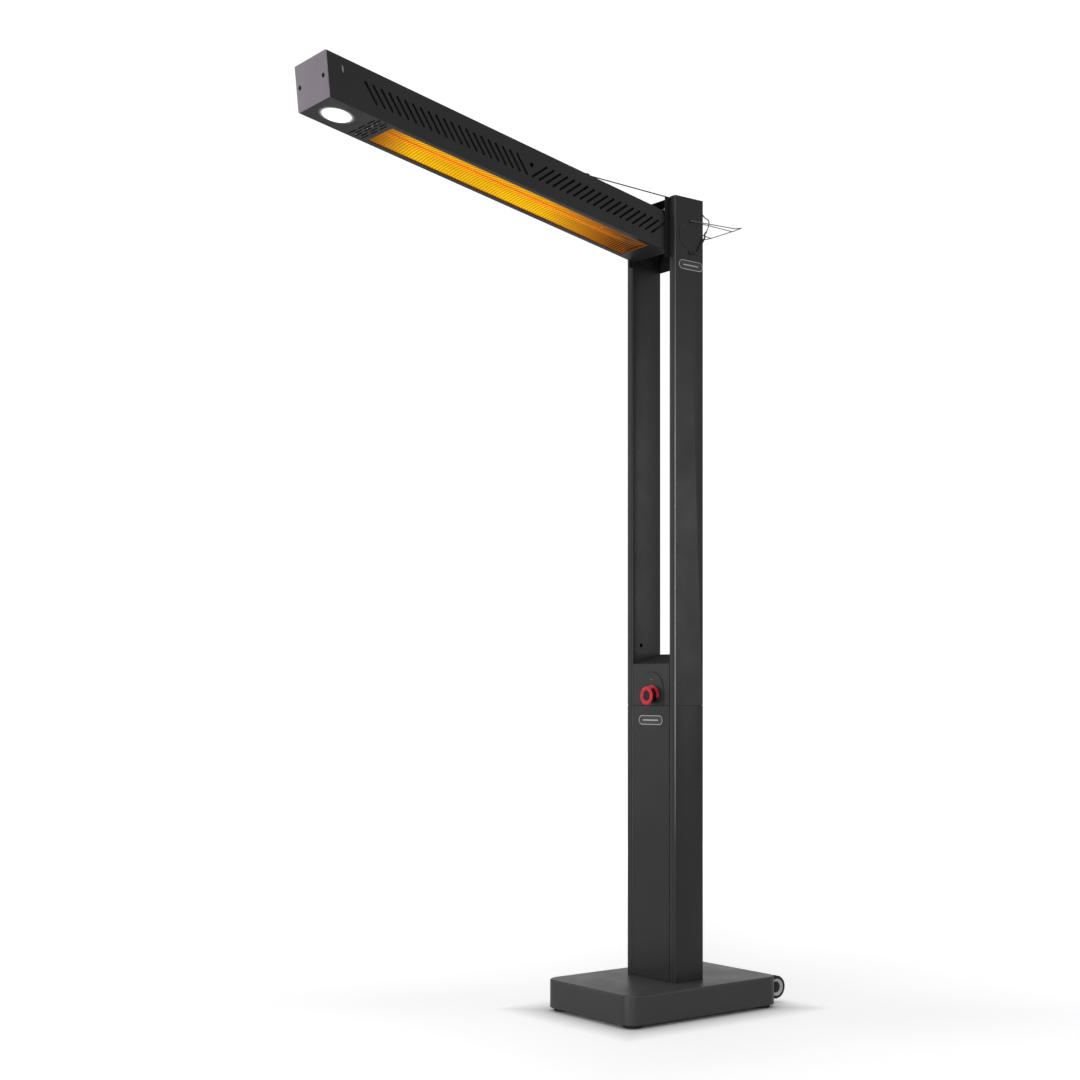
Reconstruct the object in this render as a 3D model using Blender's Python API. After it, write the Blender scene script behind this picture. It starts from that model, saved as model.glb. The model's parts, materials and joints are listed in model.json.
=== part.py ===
"""Outdoor column heater with a tilting head that folds down between its two posts.

Metres, +Z up. X runs from the left post to the right post, -Y is the front, and
the floor is z = 0. The origin is on the floor, under the middle of the whole
heater with its head raised.
"""

import math

import bmesh
import bpy
from mathutils import Matrix, Vector

GAP = 0.0003  # between pieces that touch

# Column
COLUMN_WIDTH = 0.189
COLUMN_DEPTH = 0.098
COLUMN_TOP = 2.100
POST_WIDTH = 0.023
POST_WALL = 0.002
POST_CORNER = 0.003
SEAM_Z = 0.793
PANEL_SHEET = 0.002
PANEL_SIDE_GAP = 0.0008

# Base
BASE_WIDTH = 0.349
BASE_DEPTH = 0.515
BASE_CENTRE_Y = -0.008
BASE_UNDERSIDE = 0.010
BASE_TOP = 0.083
BASE_CORNER = 0.040
BASE_EDGE = 0.004
BASE_SHEET = 0.0025
FOOT_RADIUS = 0.024
FOOT_X = 0.138
FOOT_Y = 0.222
BALLAST_HEIGHT = 0.024

# Transport wheels behind the base
WHEEL_RADIUS = 0.0305
HUB_RADIUS = 0.0225
WHEEL_WIDTH = 0.022
WHEEL_OUTER_X = 0.130
WHEEL_Z = 0.0425
WHEEL_CLEARANCE = 0.003
AXLE_RADIUS = 0.004
RUNNING_GAP = 0.0003

# Control box and knob
CONTROL_FRONT_TOP = 0.902
CONTROL_REAR_TOP = 0.928
KNOB_X = 0.005
KNOB_Z = 0.8185
KNOB_RADIUS = 0.0242
KNOB_BODY_RADIUS = 0.0184
KNOB_DISH_RADIUS = 0.0152
KNOB_SHAFT_RADIUS = 0.003
BEZEL_RADIUS = 0.0278
PLATE_RADIUS = 0.044
PLATE_CENTRE_X = 0.004
PLATE_TOP = 0.880
TRIM_THICKNESS = 0.0012
INDICATOR_Z = 0.8605
INDICATOR_RADIUS = 0.003
DIAL_SWEEP = (-12, 192)

# Head, in its own axes: x across, s from the pivot towards the tip, h upwards
TILT = math.radians(10.63)
PIVOT_Y = -0.005
PIVOT_Z = 2.000
HEAD_WIDTH = 0.138
HEAD_SHEET = 0.002
HEAD_TIP_S = 1.0849
HEAD_TOP_H = 0.0503
HEAD_UNDER_H = -0.0487
END_SLANT = math.radians(16.2)
HEAD_REAR_S = 0.063
HEAD_REAR_CORNER = 0.040
CAP_THICKNESS = 0.003
SCREW_X = 0.052
SCREW_RADIUS = 0.0042
WINDOW_S = (0.0919, 0.8790)
WINDOW_HALF = 0.054
LIGHT_S = 0.9955
LIGHT_RADIUS = 0.034
LIGHT_DOME = 0.006
VENT_PITCH = 0.0216
VENT_LENGTH = 0.057
VENT_WIDTH = 0.0058
FRONT_VENTS = (21, 0.955, 1)
REAR_VENTS = (19, 0.469, -1)
GRILLE_BARS = 44
SHAFT_RADIUS = 0.006
WASHER_RADIUS = 0.012
EAR_RADIUS = 0.046
EAR_X = (0.0637, 0.0667)
STOP_ROD_RADIUS = 0.004

# Hood between the post tops
HOOD_SHEET = 0.0012
HOOD_FRONT_Y = -0.063
HOOD_BOTTOM = 1.944
HOOD_TOP = 2.0955
HOOD_EAR_TOP = 2.0975

# Index holes, wire hook and stay cable
HOLE_OFFSET = 0.0405
HOLE_Y = 0.003
HOLE_RADIUS = 0.0045
CATCH_HOLE = (-0.020, 0.951)
CATCH_HOLE_RADIUS = 0.005
COVER_RADIUS = 0.030
PIN_RADIUS = 0.0040
PIN_HEAD_RADIUS = 0.0055
PIN_HEAD_THICKNESS = 0.0045
WIRE_RADIUS = 0.0015
CABLE_RADIUS = 0.0015
CABLE_X = 0.055
ANCHOR_Y = -0.303
CABLE_ANCHOR_Z = 2.1120
SADDLE_Y = 0.0420
CABLE_SADDLE_Z = 2.1014

HALF_WIDTH = COLUMN_WIDTH / 2
HALF_DEPTH = COLUMN_DEPTH / 2
SLOT_HALF = HALF_WIDTH - POST_WIDTH
HEAD_HALF = HEAD_WIDTH / 2
BASE_REAR = BASE_CENTRE_Y + BASE_DEPTH / 2
WHEEL_Y = BASE_REAR + WHEEL_CLEARANCE + WHEEL_RADIUS
TIP_Y = PIVOT_Y - HEAD_TIP_S * math.cos(TILT) + HEAD_TOP_H * math.sin(TILT)
ORIGIN_Y = -(TIP_Y + WHEEL_Y + WHEEL_RADIUS) / 2
SIDES = (("left", -1), ("right", 1))


# ---------------------------------------------------------------- helpers


def clear_scene():
    for obj in list(bpy.data.objects):
        bpy.data.objects.remove(obj, do_unlink=True)


def material(name, colour, roughness, metallic=0.0):
    mat = bpy.data.materials.new(name)
    mat.use_nodes = True
    shader = mat.node_tree.nodes["Principled BSDF"]
    shader.inputs["Base Color"].default_value = (*colour, 1.0)
    shader.inputs["Roughness"].default_value = roughness
    shader.inputs["Metallic"].default_value = metallic
    return mat


def empty(name, location=(0, 0, 0), rotation_x=0.0, parent=None):
    obj = bpy.data.objects.new(name, None)
    bpy.context.collection.objects.link(obj)
    obj.location = location
    obj.rotation_euler.x = rotation_x
    obj.parent = parent
    return obj


def new_object(name, bm, mat, parent, smooth=False):
    bmesh.ops.recalc_face_normals(bm, faces=bm.faces)
    mesh = bpy.data.meshes.new(name)
    bm.to_mesh(mesh)
    bm.free()
    if smooth:
        mesh.shade_smooth()
        mesh.set_sharp_from_angle(angle=math.radians(35))
    if mat:
        mesh.materials.append(mat)
    obj = bpy.data.objects.new(name, mesh)
    bpy.context.collection.objects.link(obj)
    obj.parent = parent
    return obj


def add_prism(bm, outline, axis, low, high):
    """Extrudes an outline along x, y or z. It lies in (y, z), (x, z) or (x, y)."""

    def point(a, b, c):
        return {"x": (c, a, b), "y": (a, c, b), "z": (a, b, c)}[axis]

    rings = [[bm.verts.new(point(a, b, c)) for a, b in outline] for c in (low, high)]
    count = len(outline)
    for i in range(count):
        j = (i + 1) % count
        bm.faces.new((rings[0][i], rings[0][j], rings[1][j], rings[1][i]))
    bm.faces.new(rings[0])
    bm.faces.new(rings[1])


def prism(name, outline, axis, low, high, mat, parent, smooth=False):
    bm = bmesh.new()
    add_prism(bm, outline, axis, low, high)
    return new_object(name, bm, mat, parent, smooth)


def box(name, low, high, mat, parent):
    outline = rectangle(low[0], high[0], low[1], high[1])
    return prism(name, outline, "z", low[2], high[2], mat, parent)


def turned(name, profile, axis, centre, mat, parent, segments=24):
    """Turns (radius, along) points round a line through centre, parallel to x, y or z."""
    bm = bmesh.new()
    turn = {
        "x": Matrix.Rotation(math.radians(90), 4, "Y"),
        "y": Matrix.Rotation(math.radians(-90), 4, "X"),
        "z": Matrix.Identity(4),
    }[axis]
    rings = []
    for radius, along in profile:
        if radius == 0:
            rings.append([bm.verts.new((0, 0, along))])
            continue
        ring = []
        for i in range(segments):
            angle = 2 * math.pi * i / segments
            x, y = radius * math.cos(angle), radius * math.sin(angle)
            ring.append(bm.verts.new((x, y, along)))
        rings.append(ring)
    closed = profile[0][0] > 0
    pairs = list(zip(rings, rings[1:] + rings[:1] if closed else rings[1:]))
    for first, second in pairs:
        for i in range(segments):
            j = (i + 1) % segments
            corners = [first[i % len(first)], first[j % len(first)]]
            corners += [second[j % len(second)], second[i % len(second)]]
            bm.faces.new(list(dict.fromkeys(corners)))
    bmesh.ops.transform(bm, matrix=Matrix.Translation(centre) @ turn, verts=bm.verts)
    return new_object(name, bm, mat, parent, smooth=True)


def tube(name, points, radius, mat, parent, resolution=2):
    """A round wire or cable along a list of points, with closed ends."""
    curve = bpy.data.curves.new(name, "CURVE")
    curve.dimensions = "3D"
    curve.bevel_depth = radius
    curve.bevel_resolution = resolution
    curve.use_fill_caps = True
    spline = curve.splines.new("POLY")
    spline.points.add(len(points) - 1)
    for point, place in zip(spline.points, points):
        point.co = (*place, 1.0)
    curve.materials.append(mat)
    obj = bpy.data.objects.new(name, curve)
    bpy.context.collection.objects.link(obj)
    obj.parent = parent
    return obj


def as_mesh(obj):
    """Turns a curve object into a mesh object of the same name."""
    name, parent, mat = obj.name, obj.parent, obj.data.materials[0]
    bpy.context.view_layer.update()
    graph = bpy.context.evaluated_depsgraph_get()
    mesh = bpy.data.meshes.new_from_object(obj.evaluated_get(graph))
    bpy.data.objects.remove(obj, do_unlink=True)
    bm = bmesh.new()
    bm.from_mesh(mesh)
    bmesh.ops.remove_doubles(bm, verts=bm.verts, dist=0.00001)
    return new_object(name, bm, mat, parent, smooth=True)


def smooth_path(points, steps):
    """A Catmull-Rom curve through the points, with this many steps to each span."""
    path = [Vector(p) for p in points]
    padded = [2 * path[0] - path[1], *path, 2 * path[-1] - path[-2]]
    result = []
    for i in range(1, len(padded) - 2):
        a, b, c, d = padded[i - 1 : i + 3]
        for step in range(steps):
            t = step / steps
            bend = 2 * b + (c - a) * t
            bend += (2 * a - 5 * b + 4 * c - d) * t**2
            bend += (3 * b - a - 3 * c + d) * t**3
            result.append(bend / 2)
    return [*result, path[-1]]


def rounded_bends(points, radius, steps=4):
    """A wire's path: straight runs with each inner corner rounded to this radius."""
    path = [Vector(p) for p in points]
    result = [path[0]]
    for before, corner, after in zip(path, path[1:], path[2:]):
        start = corner + (before - corner).normalized() * radius
        end = corner + (after - corner).normalized() * radius
        for step in range(steps + 1):
            t = step / steps
            result.append(start * (1 - t) ** 2 + corner * 2 * t * (1 - t) + end * t**2)
    return [*result, path[-1]]


def cut(obj, cutter, operation="DIFFERENCE"):
    modifier = obj.modifiers.new(cutter.name, "BOOLEAN")
    modifier.operation = operation
    modifier.object = cutter
    cutter.hide_render = True
    cutter.display_type = "WIRE"


def rectangle(a0, a1, b0, b1):
    return [(a0, b0), (a1, b0), (a1, b1), (a0, b1)]


def arc(centre, radius, start, end, steps):
    """Points on a circle between two angles in degrees, both ends included."""
    points = []
    for i in range(steps + 1):
        angle = math.radians(start + (end - start) * i / steps)
        x, y = radius * math.cos(angle), radius * math.sin(angle)
        points.append((centre[0] + x, centre[1] + y))
    return points


def rounded_rectangle(half_a, half_b, radius, steps, centre=(0, 0)):
    points = []
    for corner, start in (((1, 1), 0), ((-1, 1), 90), ((-1, -1), 180), ((1, -1), 270)):
        a = centre[0] + corner[0] * (half_a - radius)
        b = centre[1] + corner[1] * (half_b - radius)
        points += arc((a, b), radius, start, start + 90, steps)
    return points


def head_point(s, h):
    """A head outline's (s, h) as the (y, z) of the head's own axes."""
    return (-s, h)


# ---------------------------------------------------------------- stand


def make_base(finish, root):
    """A folded sheet cover over a steel ballast slab, closed by a bottom plate."""
    steps = 6
    middle = (0, BASE_CENTRE_Y)
    bm = bmesh.new()

    def ring(inset, z):
        half_a, half_b = BASE_WIDTH / 2 - inset, BASE_DEPTH / 2 - inset
        outline = rounded_rectangle(half_a, half_b, BASE_CORNER - inset, steps, middle)
        return [bm.verts.new((a, b, z)) for a, b in outline]

    rings = [ring(BASE_SHEET, BASE_TOP - BASE_SHEET), ring(BASE_SHEET, BASE_UNDERSIDE)]
    rings.append(ring(0, BASE_UNDERSIDE))
    for angle in (0, 30, 60, 90):
        turn = math.radians(angle)
        inset = BASE_EDGE * (1 - math.cos(turn))
        rings.append(ring(inset, BASE_TOP - BASE_EDGE * (1 - math.sin(turn))))
    for first, second in zip(rings, rings[1:]):
        for i in range(len(first)):
            j = (i + 1) % len(first)
            bm.faces.new((first[i], first[j], second[j], second[i]))
    bm.faces.new(rings[0])
    bm.faces.new(rings[-1])
    new_object("base_casing", bm, finish["black_paint"], root, smooth=True)

    inside = BASE_SHEET + GAP
    plate_top = BASE_UNDERSIDE + PANEL_SHEET
    outline = rounded_rectangle(
        BASE_WIDTH / 2 - inside, BASE_DEPTH / 2 - inside, BASE_CORNER - inside, 6, middle
    )
    prism("base_plate", outline, "z", BASE_UNDERSIDE, plate_top, finish["steel"], root)
    bottom = plate_top + GAP
    top = bottom + BALLAST_HEIGHT
    prism("base_ballast", outline, "z", bottom, top, finish["steel"], root)
    for end, y_side in (("front", -1), ("rear", 1)):
        for side, x_side in SIDES:
            centre = (x_side * FOOT_X, BASE_CENTRE_Y + y_side * FOOT_Y, 0)
            height = BASE_UNDERSIDE - GAP
            profile = [(0, 0), (FOOT_RADIUS - 0.0015, 0), (FOOT_RADIUS, 0.0015)]
            profile += [(FOOT_RADIUS, height), (0, height)]
            name = f"foot_{end}_{side}"
            turned(name, profile, "z", centre, finish["rubber"], root)


def make_post(name, side, bottom, top, closed, finish, root):
    """A rectangular tube with bent corners. The upper one is closed at the top."""
    middle = (side * (HALF_WIDTH - POST_WIDTH / 2), 0)
    outer = rounded_rectangle(POST_WIDTH / 2, HALF_DEPTH, POST_CORNER, 3, middle)
    post = prism(name, outer, "z", bottom, top, finish["black_paint"], root, True)
    half_a, half_b = POST_WIDTH / 2 - POST_WALL, HALF_DEPTH - POST_WALL
    inner = rounded_rectangle(half_a, half_b, POST_CORNER - POST_WALL, 2, middle)
    hollow_top = top - POST_WALL if closed else top + 0.01
    cut(post, prism(name + "_hollow", inner, "z", bottom - 0.01, hollow_top, None, root))
    return post


def make_posts(finish, root):
    for name, side in SIDES:
        lower_top = SEAM_Z - GAP
        make_post(f"lower_post_{name}", side, BASE_TOP + GAP, lower_top, False, finish, root)
        upper = make_post(
            f"upper_post_{name}", side, SEAM_Z + GAP, COLUMN_TOP, True, finish, root
        )
        inner_wall = side * (SLOT_HALF + POST_WALL / 2)
        hole = SHAFT_RADIUS + RUNNING_GAP
        shaft_hole = [(0, -POST_WALL), (hole, -POST_WALL), (hole, POST_WALL), (0, POST_WALL)]
        centre = (inner_wall, PIVOT_Y, PIVOT_Z)
        cut(upper, turned(f"shaft_hole_{name}", shaft_hole, "x", centre, None, root, 16))
        hole = CATCH_HOLE_RADIUS
        catch = [(0, -POST_WALL), (hole, -POST_WALL), (hole, POST_WALL), (0, POST_WALL)]
        centre = (inner_wall, *CATCH_HOLE)
        cut(upper, turned(f"catch_hole_{name}", catch, "x", centre, None, root, 16))
        inset = POST_WALL + GAP
        coupler = rectangle(
            side * (HALF_WIDTH - inset),
            side * (SLOT_HALF + inset),
            -HALF_DEPTH + inset + 0.001,
            HALF_DEPTH - inset - 0.001,
        )
        low, high = SEAM_Z - 0.080, SEAM_Z + 0.080
        prism(f"post_coupler_{name}", coupler, "z", low, high, finish["black_paint"], root)
    for label, sign in (("lower", -1), ("upper", 1)):
        centre = (HALF_WIDTH, HOLE_Y, PIVOT_Z + sign * HOLE_OFFSET)
        depth = POST_WALL + 0.001
        hole = [(0, -depth), (HOLE_RADIUS, -depth), (HOLE_RADIUS, depth), (0, depth)]
        cutter = turned(f"index_hole_{label}", hole, "x", centre, None, root, 16)
        cut(bpy.data.objects["upper_post_right"], cutter)


def make_panels(finish, root):
    """The lower column's front and rear panels, its foot plate and the cable gland."""
    half = SLOT_HALF - PANEL_SIDE_GAP
    faces = (("lower_front_panel", -HALF_DEPTH + 0.0005), ("lower_rear_panel", None))
    for name, front in faces:
        y0 = front if front is not None else HALF_DEPTH - 0.0005 - PANEL_SHEET
        low = (-half, y0, BASE_TOP + GAP)
        high = (half, y0 + PANEL_SHEET, SEAM_Z - GAP)
        box(name, low, high, finish["black_paint"], root)
    inner_y = HALF_DEPTH - 0.0005 - PANEL_SHEET - GAP
    low = (-half, -inner_y, BASE_TOP + GAP)
    high = (half, inner_y, BASE_TOP + GAP + 0.006)
    box("column_foot_plate", low, high, finish["steel"], root)
    face = HALF_DEPTH - 0.0005 + GAP
    profile = [(0, face), (0.011, face), (0.011, face + 0.006), (0.008, face + 0.007)]
    profile += [(0.007, face + 0.018), (0.0035, face + 0.020), (0, face + 0.020)]
    turned("cable_gland", profile, "y", (0, 0, 0.150), finish["plastic"], root, 16)


def make_control_box(finish, root):
    """The housing between the posts: a front face, a roof that rises to the rear, a back."""
    half = SLOT_HALF - PANEL_SIDE_GAP
    front, rear = -HALF_DEPTH + 0.0005, HALF_DEPTH - 0.0005
    bottom = SEAM_Z + GAP
    outer = [(front, bottom), (front, CONTROL_FRONT_TOP)]
    outer += [(rear, CONTROL_REAR_TOP), (rear, bottom)]
    sheet = PANEL_SHEET
    slope = (CONTROL_REAR_TOP - CONTROL_FRONT_TOP) / (rear - front)
    under_front = CONTROL_FRONT_TOP + slope * sheet - sheet
    under_rear = CONTROL_REAR_TOP - slope * sheet - sheet
    outer += [(rear - sheet, bottom), (rear - sheet, under_rear)]
    outer += [(front + sheet, under_front), (front + sheet, bottom)]
    shell = prism("control_box", outer, "x", -half, half, finish["black_paint"], root)
    hole = KNOB_SHAFT_RADIUS + 0.002
    profile = [(0, front - 0.01), (hole, front - 0.01), (hole, front + 0.01), (0, front + 0.01)]
    cut(shell, turned("switch_hole", profile, "y", (KNOB_X, 0, KNOB_Z), None, root, 16))

    face = front - GAP
    edge = face - TRIM_THICKNESS
    arch = arc((PLATE_CENTRE_X, PLATE_TOP - PLATE_RADIUS), PLATE_RADIUS, 0, 180, 16)
    arch += [(PLATE_CENTRE_X - PLATE_RADIUS, bottom), (PLATE_CENTRE_X + PLATE_RADIUS, bottom)]
    plate = prism("switch_plate", arch, "y", edge, face, finish["black_paint"], root)
    profile = [(0, edge - 0.01), (hole, edge - 0.01), (hole, face + 0.01), (0, face + 0.01)]
    cut(plate, turned("plate_hole", profile, "y", (KNOB_X, 0, KNOB_Z), None, root, 16))
    ring_back, ring_front = edge - GAP, edge - GAP - 0.0016
    start, end = DIAL_SWEEP
    dial = arc((KNOB_X, KNOB_Z), BEZEL_RADIUS, start, end, 24)
    dial += arc((KNOB_X, KNOB_Z), KNOB_BODY_RADIUS + 0.001, end, start, 24)
    prism("knob_bezel", dial, "y", ring_front, ring_back, finish["red"], root)
    lens = [(0, ring_back), (INDICATOR_RADIUS, ring_back), (INDICATOR_RADIUS, ring_back - 0.001)]
    lens += [(0, ring_back - 0.0016)]
    centre = (PLATE_CENTRE_X, 0, INDICATOR_Z)
    turned("indicator_lens", lens, "y", centre, finish["lens"], root, 16)
    low = (KNOB_X - 0.022, front + sheet + GAP + 0.012, KNOB_Z - 0.018)
    high = (KNOB_X + 0.022, front + 0.050, KNOB_Z + 0.022)
    box("control_switch", low, high, finish["plastic"], root)


def make_knob(finish, pivot):
    """Turned parts round the knob's own axis; along is measured from the switch plate."""
    shank_back = -0.0010
    front = -0.0200
    shaft_end = 0.0150
    body = [(0, front + 0.0045), (KNOB_DISH_RADIUS, front + 0.0045)]
    body += [(KNOB_BODY_RADIUS - 0.001, front + 0.0030), (KNOB_BODY_RADIUS, front + 0.0040)]
    body += [(KNOB_BODY_RADIUS, shank_back), (KNOB_SHAFT_RADIUS, shank_back)]
    body += [(KNOB_SHAFT_RADIUS, shaft_end), (0, shaft_end)]
    turned("knob_body", body, "y", (0, 0, 0), finish["plastic"], pivot, 32)
    back = front + 0.0030 - GAP
    inner = KNOB_DISH_RADIUS + 0.0006
    rim = [(inner, back), (inner, front + 0.0006), (inner + 0.0014, front)]
    rim += [(KNOB_RADIUS - 0.0016, front), (KNOB_RADIUS, front + 0.0014)]
    rim += [(KNOB_RADIUS, back)]
    turned("knob_ring", rim, "y", (0, 0, 0), finish["red"], pivot, 32)
    dish_back = front + 0.0045 - GAP
    dish = [(0, front + 0.0030), (0.008, front + 0.0026)]
    dish += [(KNOB_DISH_RADIUS, front + 0.0010), (KNOB_DISH_RADIUS, dish_back), (0, dish_back)]
    turned("knob_cap", dish, "y", (0, 0, 0), finish["aluminium"], pivot, 32)


def make_badges(finish, root):
    """Two plain pill-shaped trim plates."""
    face = -HALF_DEPTH + 0.0005 - GAP
    outline = rounded_rectangle(0.046, 0.012, 0.0115, 6, (0, 0.755))
    thick = TRIM_THICKNESS
    prism("front_badge", outline, "y", face - thick, face, finish["aluminium"], root)
    outline = rounded_rectangle(0.041, 0.012, 0.0115, 6, (0.004, 1.926))
    face = HALF_WIDTH + GAP
    prism("side_badge", outline, "x", face, face + thick, finish["aluminium"], root)


def make_hood(finish, root):
    """The folded bracket between the post tops: two cheeks, a roof and a back plate."""
    half = SLOT_HALF - GAP
    inner = half - HOOD_SHEET
    rear = HALF_DEPTH - 0.0005
    name = "pivot_hood"
    cheek = rectangle(HOOD_FRONT_Y, rear, HOOD_BOTTOM, HOOD_EAR_TOP)
    hood = prism(name, cheek, "x", -half, -inner, finish["black_paint"], root)
    cut(hood, prism("hood_cheek", cheek, "x", inner, half, None, root), "UNION")
    back = rear - 0.0001
    fold = [(-0.050, HOOD_TOP), (back, HOOD_TOP), (back, HOOD_BOTTOM + 0.0001)]
    fold += [(back - HOOD_SHEET, HOOD_BOTTOM + 0.0001), (back - HOOD_SHEET, HOOD_TOP - 0.002)]
    fold += [(-0.050, HOOD_TOP - 0.002)]
    reach = half - HOOD_SHEET / 2
    cut(hood, prism("hood_fold", fold, "x", -reach, reach, None, root), "UNION")
    front, rear = SADDLE_Y - 0.0055, SADDLE_Y + 0.0035
    saddle = rounded_rectangle(0.0038, 0.0049, 0.0037, 4, (CABLE_X, HOOD_TOP + 0.0047))
    cut(hood, prism("cable_saddle", saddle, "y", front, rear, None, root), "UNION")
    bore = CABLE_RADIUS + 0.0006
    profile = [(0, front - 0.01), (bore, front - 0.01), (bore, rear + 0.01), (0, rear + 0.01)]
    centre = (CABLE_X, 0, CABLE_SADDLE_Z)
    cut(hood, turned("saddle_bore", profile, "y", centre, None, root, 12))
    hole = SHAFT_RADIUS + RUNNING_GAP
    profile = [(0, -0.1), (hole, -0.1), (hole, 0.1), (0, 0.1)]
    centre = (0, PIVOT_Y, PIVOT_Z)
    cut(hood, turned("hood_shaft_hole", profile, "x", centre, None, root, 16))
    rod_hole = STOP_ROD_RADIUS - 0.0005 + RUNNING_GAP
    profile = [(0, -0.1), (rod_hole, -0.1), (rod_hole, 0.1), (0, 0.1)]
    cut(hood, turned("hood_rod_hole", profile, "x", stop_rod_centre(), None, root, 16))


def stop_rod_centre():
    return (0, -0.056, 2.0665)


def make_pivot(finish, root):
    """The cross shaft, its washers, the stop rod above the bracket and the side covers."""
    reach = HALF_WIDTH - POST_WALL - 0.001
    profile = [(0, -reach), (SHAFT_RADIUS, -reach), (SHAFT_RADIUS, reach), (0, reach)]
    centre = (0, PIVOT_Y, PIVOT_Z)
    turned("pivot_shaft", profile, "x", centre, finish["steel"], root, 16)
    half = SLOT_HALF - GAP
    head_x = half + GAP
    neck = STOP_ROD_RADIUS - 0.0005
    profile = [(0, -head_x - 0.0001), (neck, -head_x - 0.0001), (neck, head_x), (0, head_x)]
    turned("stop_rod", profile, "x", stop_rod_centre(), finish["steel"], root, 16)
    for name, side in SIDES:
        face = HALF_WIDTH + GAP
        profile = [(0, face), (COVER_RADIUS, face), (COVER_RADIUS, face + 0.0006)]
        profile += [(COVER_RADIUS - 0.0006, face + 0.0010), (0, face + 0.0010)]
        profile = [(radius, side * along) for radius, along in profile]
        turned(f"pivot_cover_{name}", profile, "x", centre, finish["black_paint"], root, 40)
        inner, outer = EAR_X[1] + GAP, SLOT_HALF - GAP - HOOD_SHEET - GAP
        hole = SHAFT_RADIUS + RUNNING_GAP
        profile = [(hole, inner), (WASHER_RADIUS, inner), (WASHER_RADIUS, outer), (hole, outer)]
        profile = [(radius, side * along) for radius, along in profile]
        turned(f"pivot_washer_{name}", profile, "x", centre, finish["steel"], root, 20)


def make_wheels(finish, root, hubs):
    """Two wheels on one axle behind the base, clear of the floor while it stands."""
    bracket_x = WHEEL_OUTER_X - WHEEL_WIDTH - 0.010
    reach = WHEEL_OUTER_X - 0.0065
    profile = [(0, -reach), (AXLE_RADIUS, -reach), (AXLE_RADIUS, reach), (0, reach)]
    turned("wheel_axle", profile, "x", (0, WHEEL_Y, WHEEL_Z), finish["steel"], root, 16)
    hole = AXLE_RADIUS + RUNNING_GAP
    for name, side in SIDES:
        nose = arc((WHEEL_Y, WHEEL_Z), 0.011, 90, -90, 8)
        rear = BASE_REAR + GAP
        outline = [(rear, WHEEL_Z - 0.020), (rear, WHEEL_Z + 0.020), *nose]
        low, high = sorted((side * bracket_x, side * (bracket_x + 0.004)))
        label = f"wheel_bracket_{name}"
        bracket = prism(label, outline, "x", low, high, finish["black_paint"], root)
        profile = [(0, low - 0.01), (hole, low - 0.01), (hole, high + 0.01), (0, high + 0.01)]
        centre = (0, WHEEL_Y, WHEEL_Z)
        cut(bracket, turned(f"axle_hole_{name}", profile, "x", centre, None, root, 16))

        hub_pivot = hubs[name]
        inner, outer = WHEEL_OUTER_X - WHEEL_WIDTH, WHEEL_OUTER_X
        rim = HUB_RADIUS + GAP
        tyre = [(rim, inner + 0.001), (WHEEL_RADIUS - 0.003, inner)]
        tyre += [(WHEEL_RADIUS, inner + 0.003), (WHEEL_RADIUS, outer - 0.003)]
        tyre += [(WHEEL_RADIUS - 0.003, outer), (rim, outer - 0.001)]
        tyre = [(radius, side * along) for radius, along in tyre]
        turned(f"wheel_tyre_{name}", tyre, "x", (0, 0, 0), finish["rubber"], hub_pivot, 32)
        hub = [(hole, inner + 0.002), (HUB_RADIUS, inner + 0.002)]
        hub += [(HUB_RADIUS, outer - 0.0015), (HUB_RADIUS - 0.003, outer - 0.0015)]
        hub += [(HUB_RADIUS - 0.008, outer - 0.0060), (hole, outer - 0.0060)]
        hub = [(radius, side * along) for radius, along in hub]
        turned(f"wheel_hub_{name}", hub, "x", (0, 0, 0), finish["grey"], hub_pivot, 32)


def make_wire_hook(finish, root):
    """The bent wire behind the right post that the stay cable's loop hangs on."""
    post_face = HALF_WIDTH + 0.0040
    inner_x = 0.0625
    plate = HALF_DEPTH + WIRE_RADIUS * 0.3
    upper = PIVOT_Z + HOLE_OFFSET
    outer_leg = [(HALF_WIDTH - 0.008, HOLE_Y, upper), (post_face, HOLE_Y, upper)]
    outer_leg += [(post_face, 0.160, upper + 0.0050), (post_face, 0.184, upper + 0.0115)]
    outer_leg += [(inner_x, 0.184, upper + 0.0090), (inner_x, plate, upper + 0.0120)]
    path = rounded_bends(outer_leg, 0.0035)
    wire = as_mesh(tube("wire_hook", path, WIRE_RADIUS, finish["wire"], root))
    elbow = (inner_x, 0.106, upper - 0.0212)
    stay = [(inner_x, 0.181, upper + 0.0085), elbow, (inner_x, plate, upper - 0.0150)]
    path = rounded_bends(stay, 0.0030)
    cut(wire, as_mesh(tube("wire_stay", path, WIRE_RADIUS, finish["wire"], root)), "UNION")
    foot = [elbow, (0.038, 0.1035, upper - 0.0200), (0.034, plate, upper - 0.0170)]
    path = rounded_bends(foot, 0.0030)
    cut(wire, as_mesh(tube("wire_foot", path, WIRE_RADIUS, finish["wire"], root)), "UNION")


def cable_tail_route():
    """From the hood's saddle, down behind the post and round to the lock pin's head."""
    lower = PIVOT_Z - HOLE_OFFSET
    pin_side = HOLE_Y + PIN_HEAD_RADIUS + GAP
    return [
        (CABLE_X, SADDLE_Y + GAP / 2, CABLE_SADDLE_Z),
        (CABLE_X, HALF_DEPTH + 0.004, CABLE_SADDLE_Z - 0.0012),
        (0.053, 0.074, 2.0895),
        (0.051, 0.0935, 2.0745),
        (0.0515, 0.1050, 2.0705),
        (0.0530, 0.1075, 2.0610),
        (0.0580, 0.0975, 2.0415),
        (0.0690, 0.0770, 2.0235),
        (0.0860, 0.0620, 2.0140),
        (0.0975, 0.0500, 2.0040),
        (0.0978, 0.0390, 1.9850),
        (0.0978, 0.0295, 1.9680),
        (0.0978, 0.0215, 1.9605),
        (0.0978, pin_side, lower),
    ]


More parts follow.
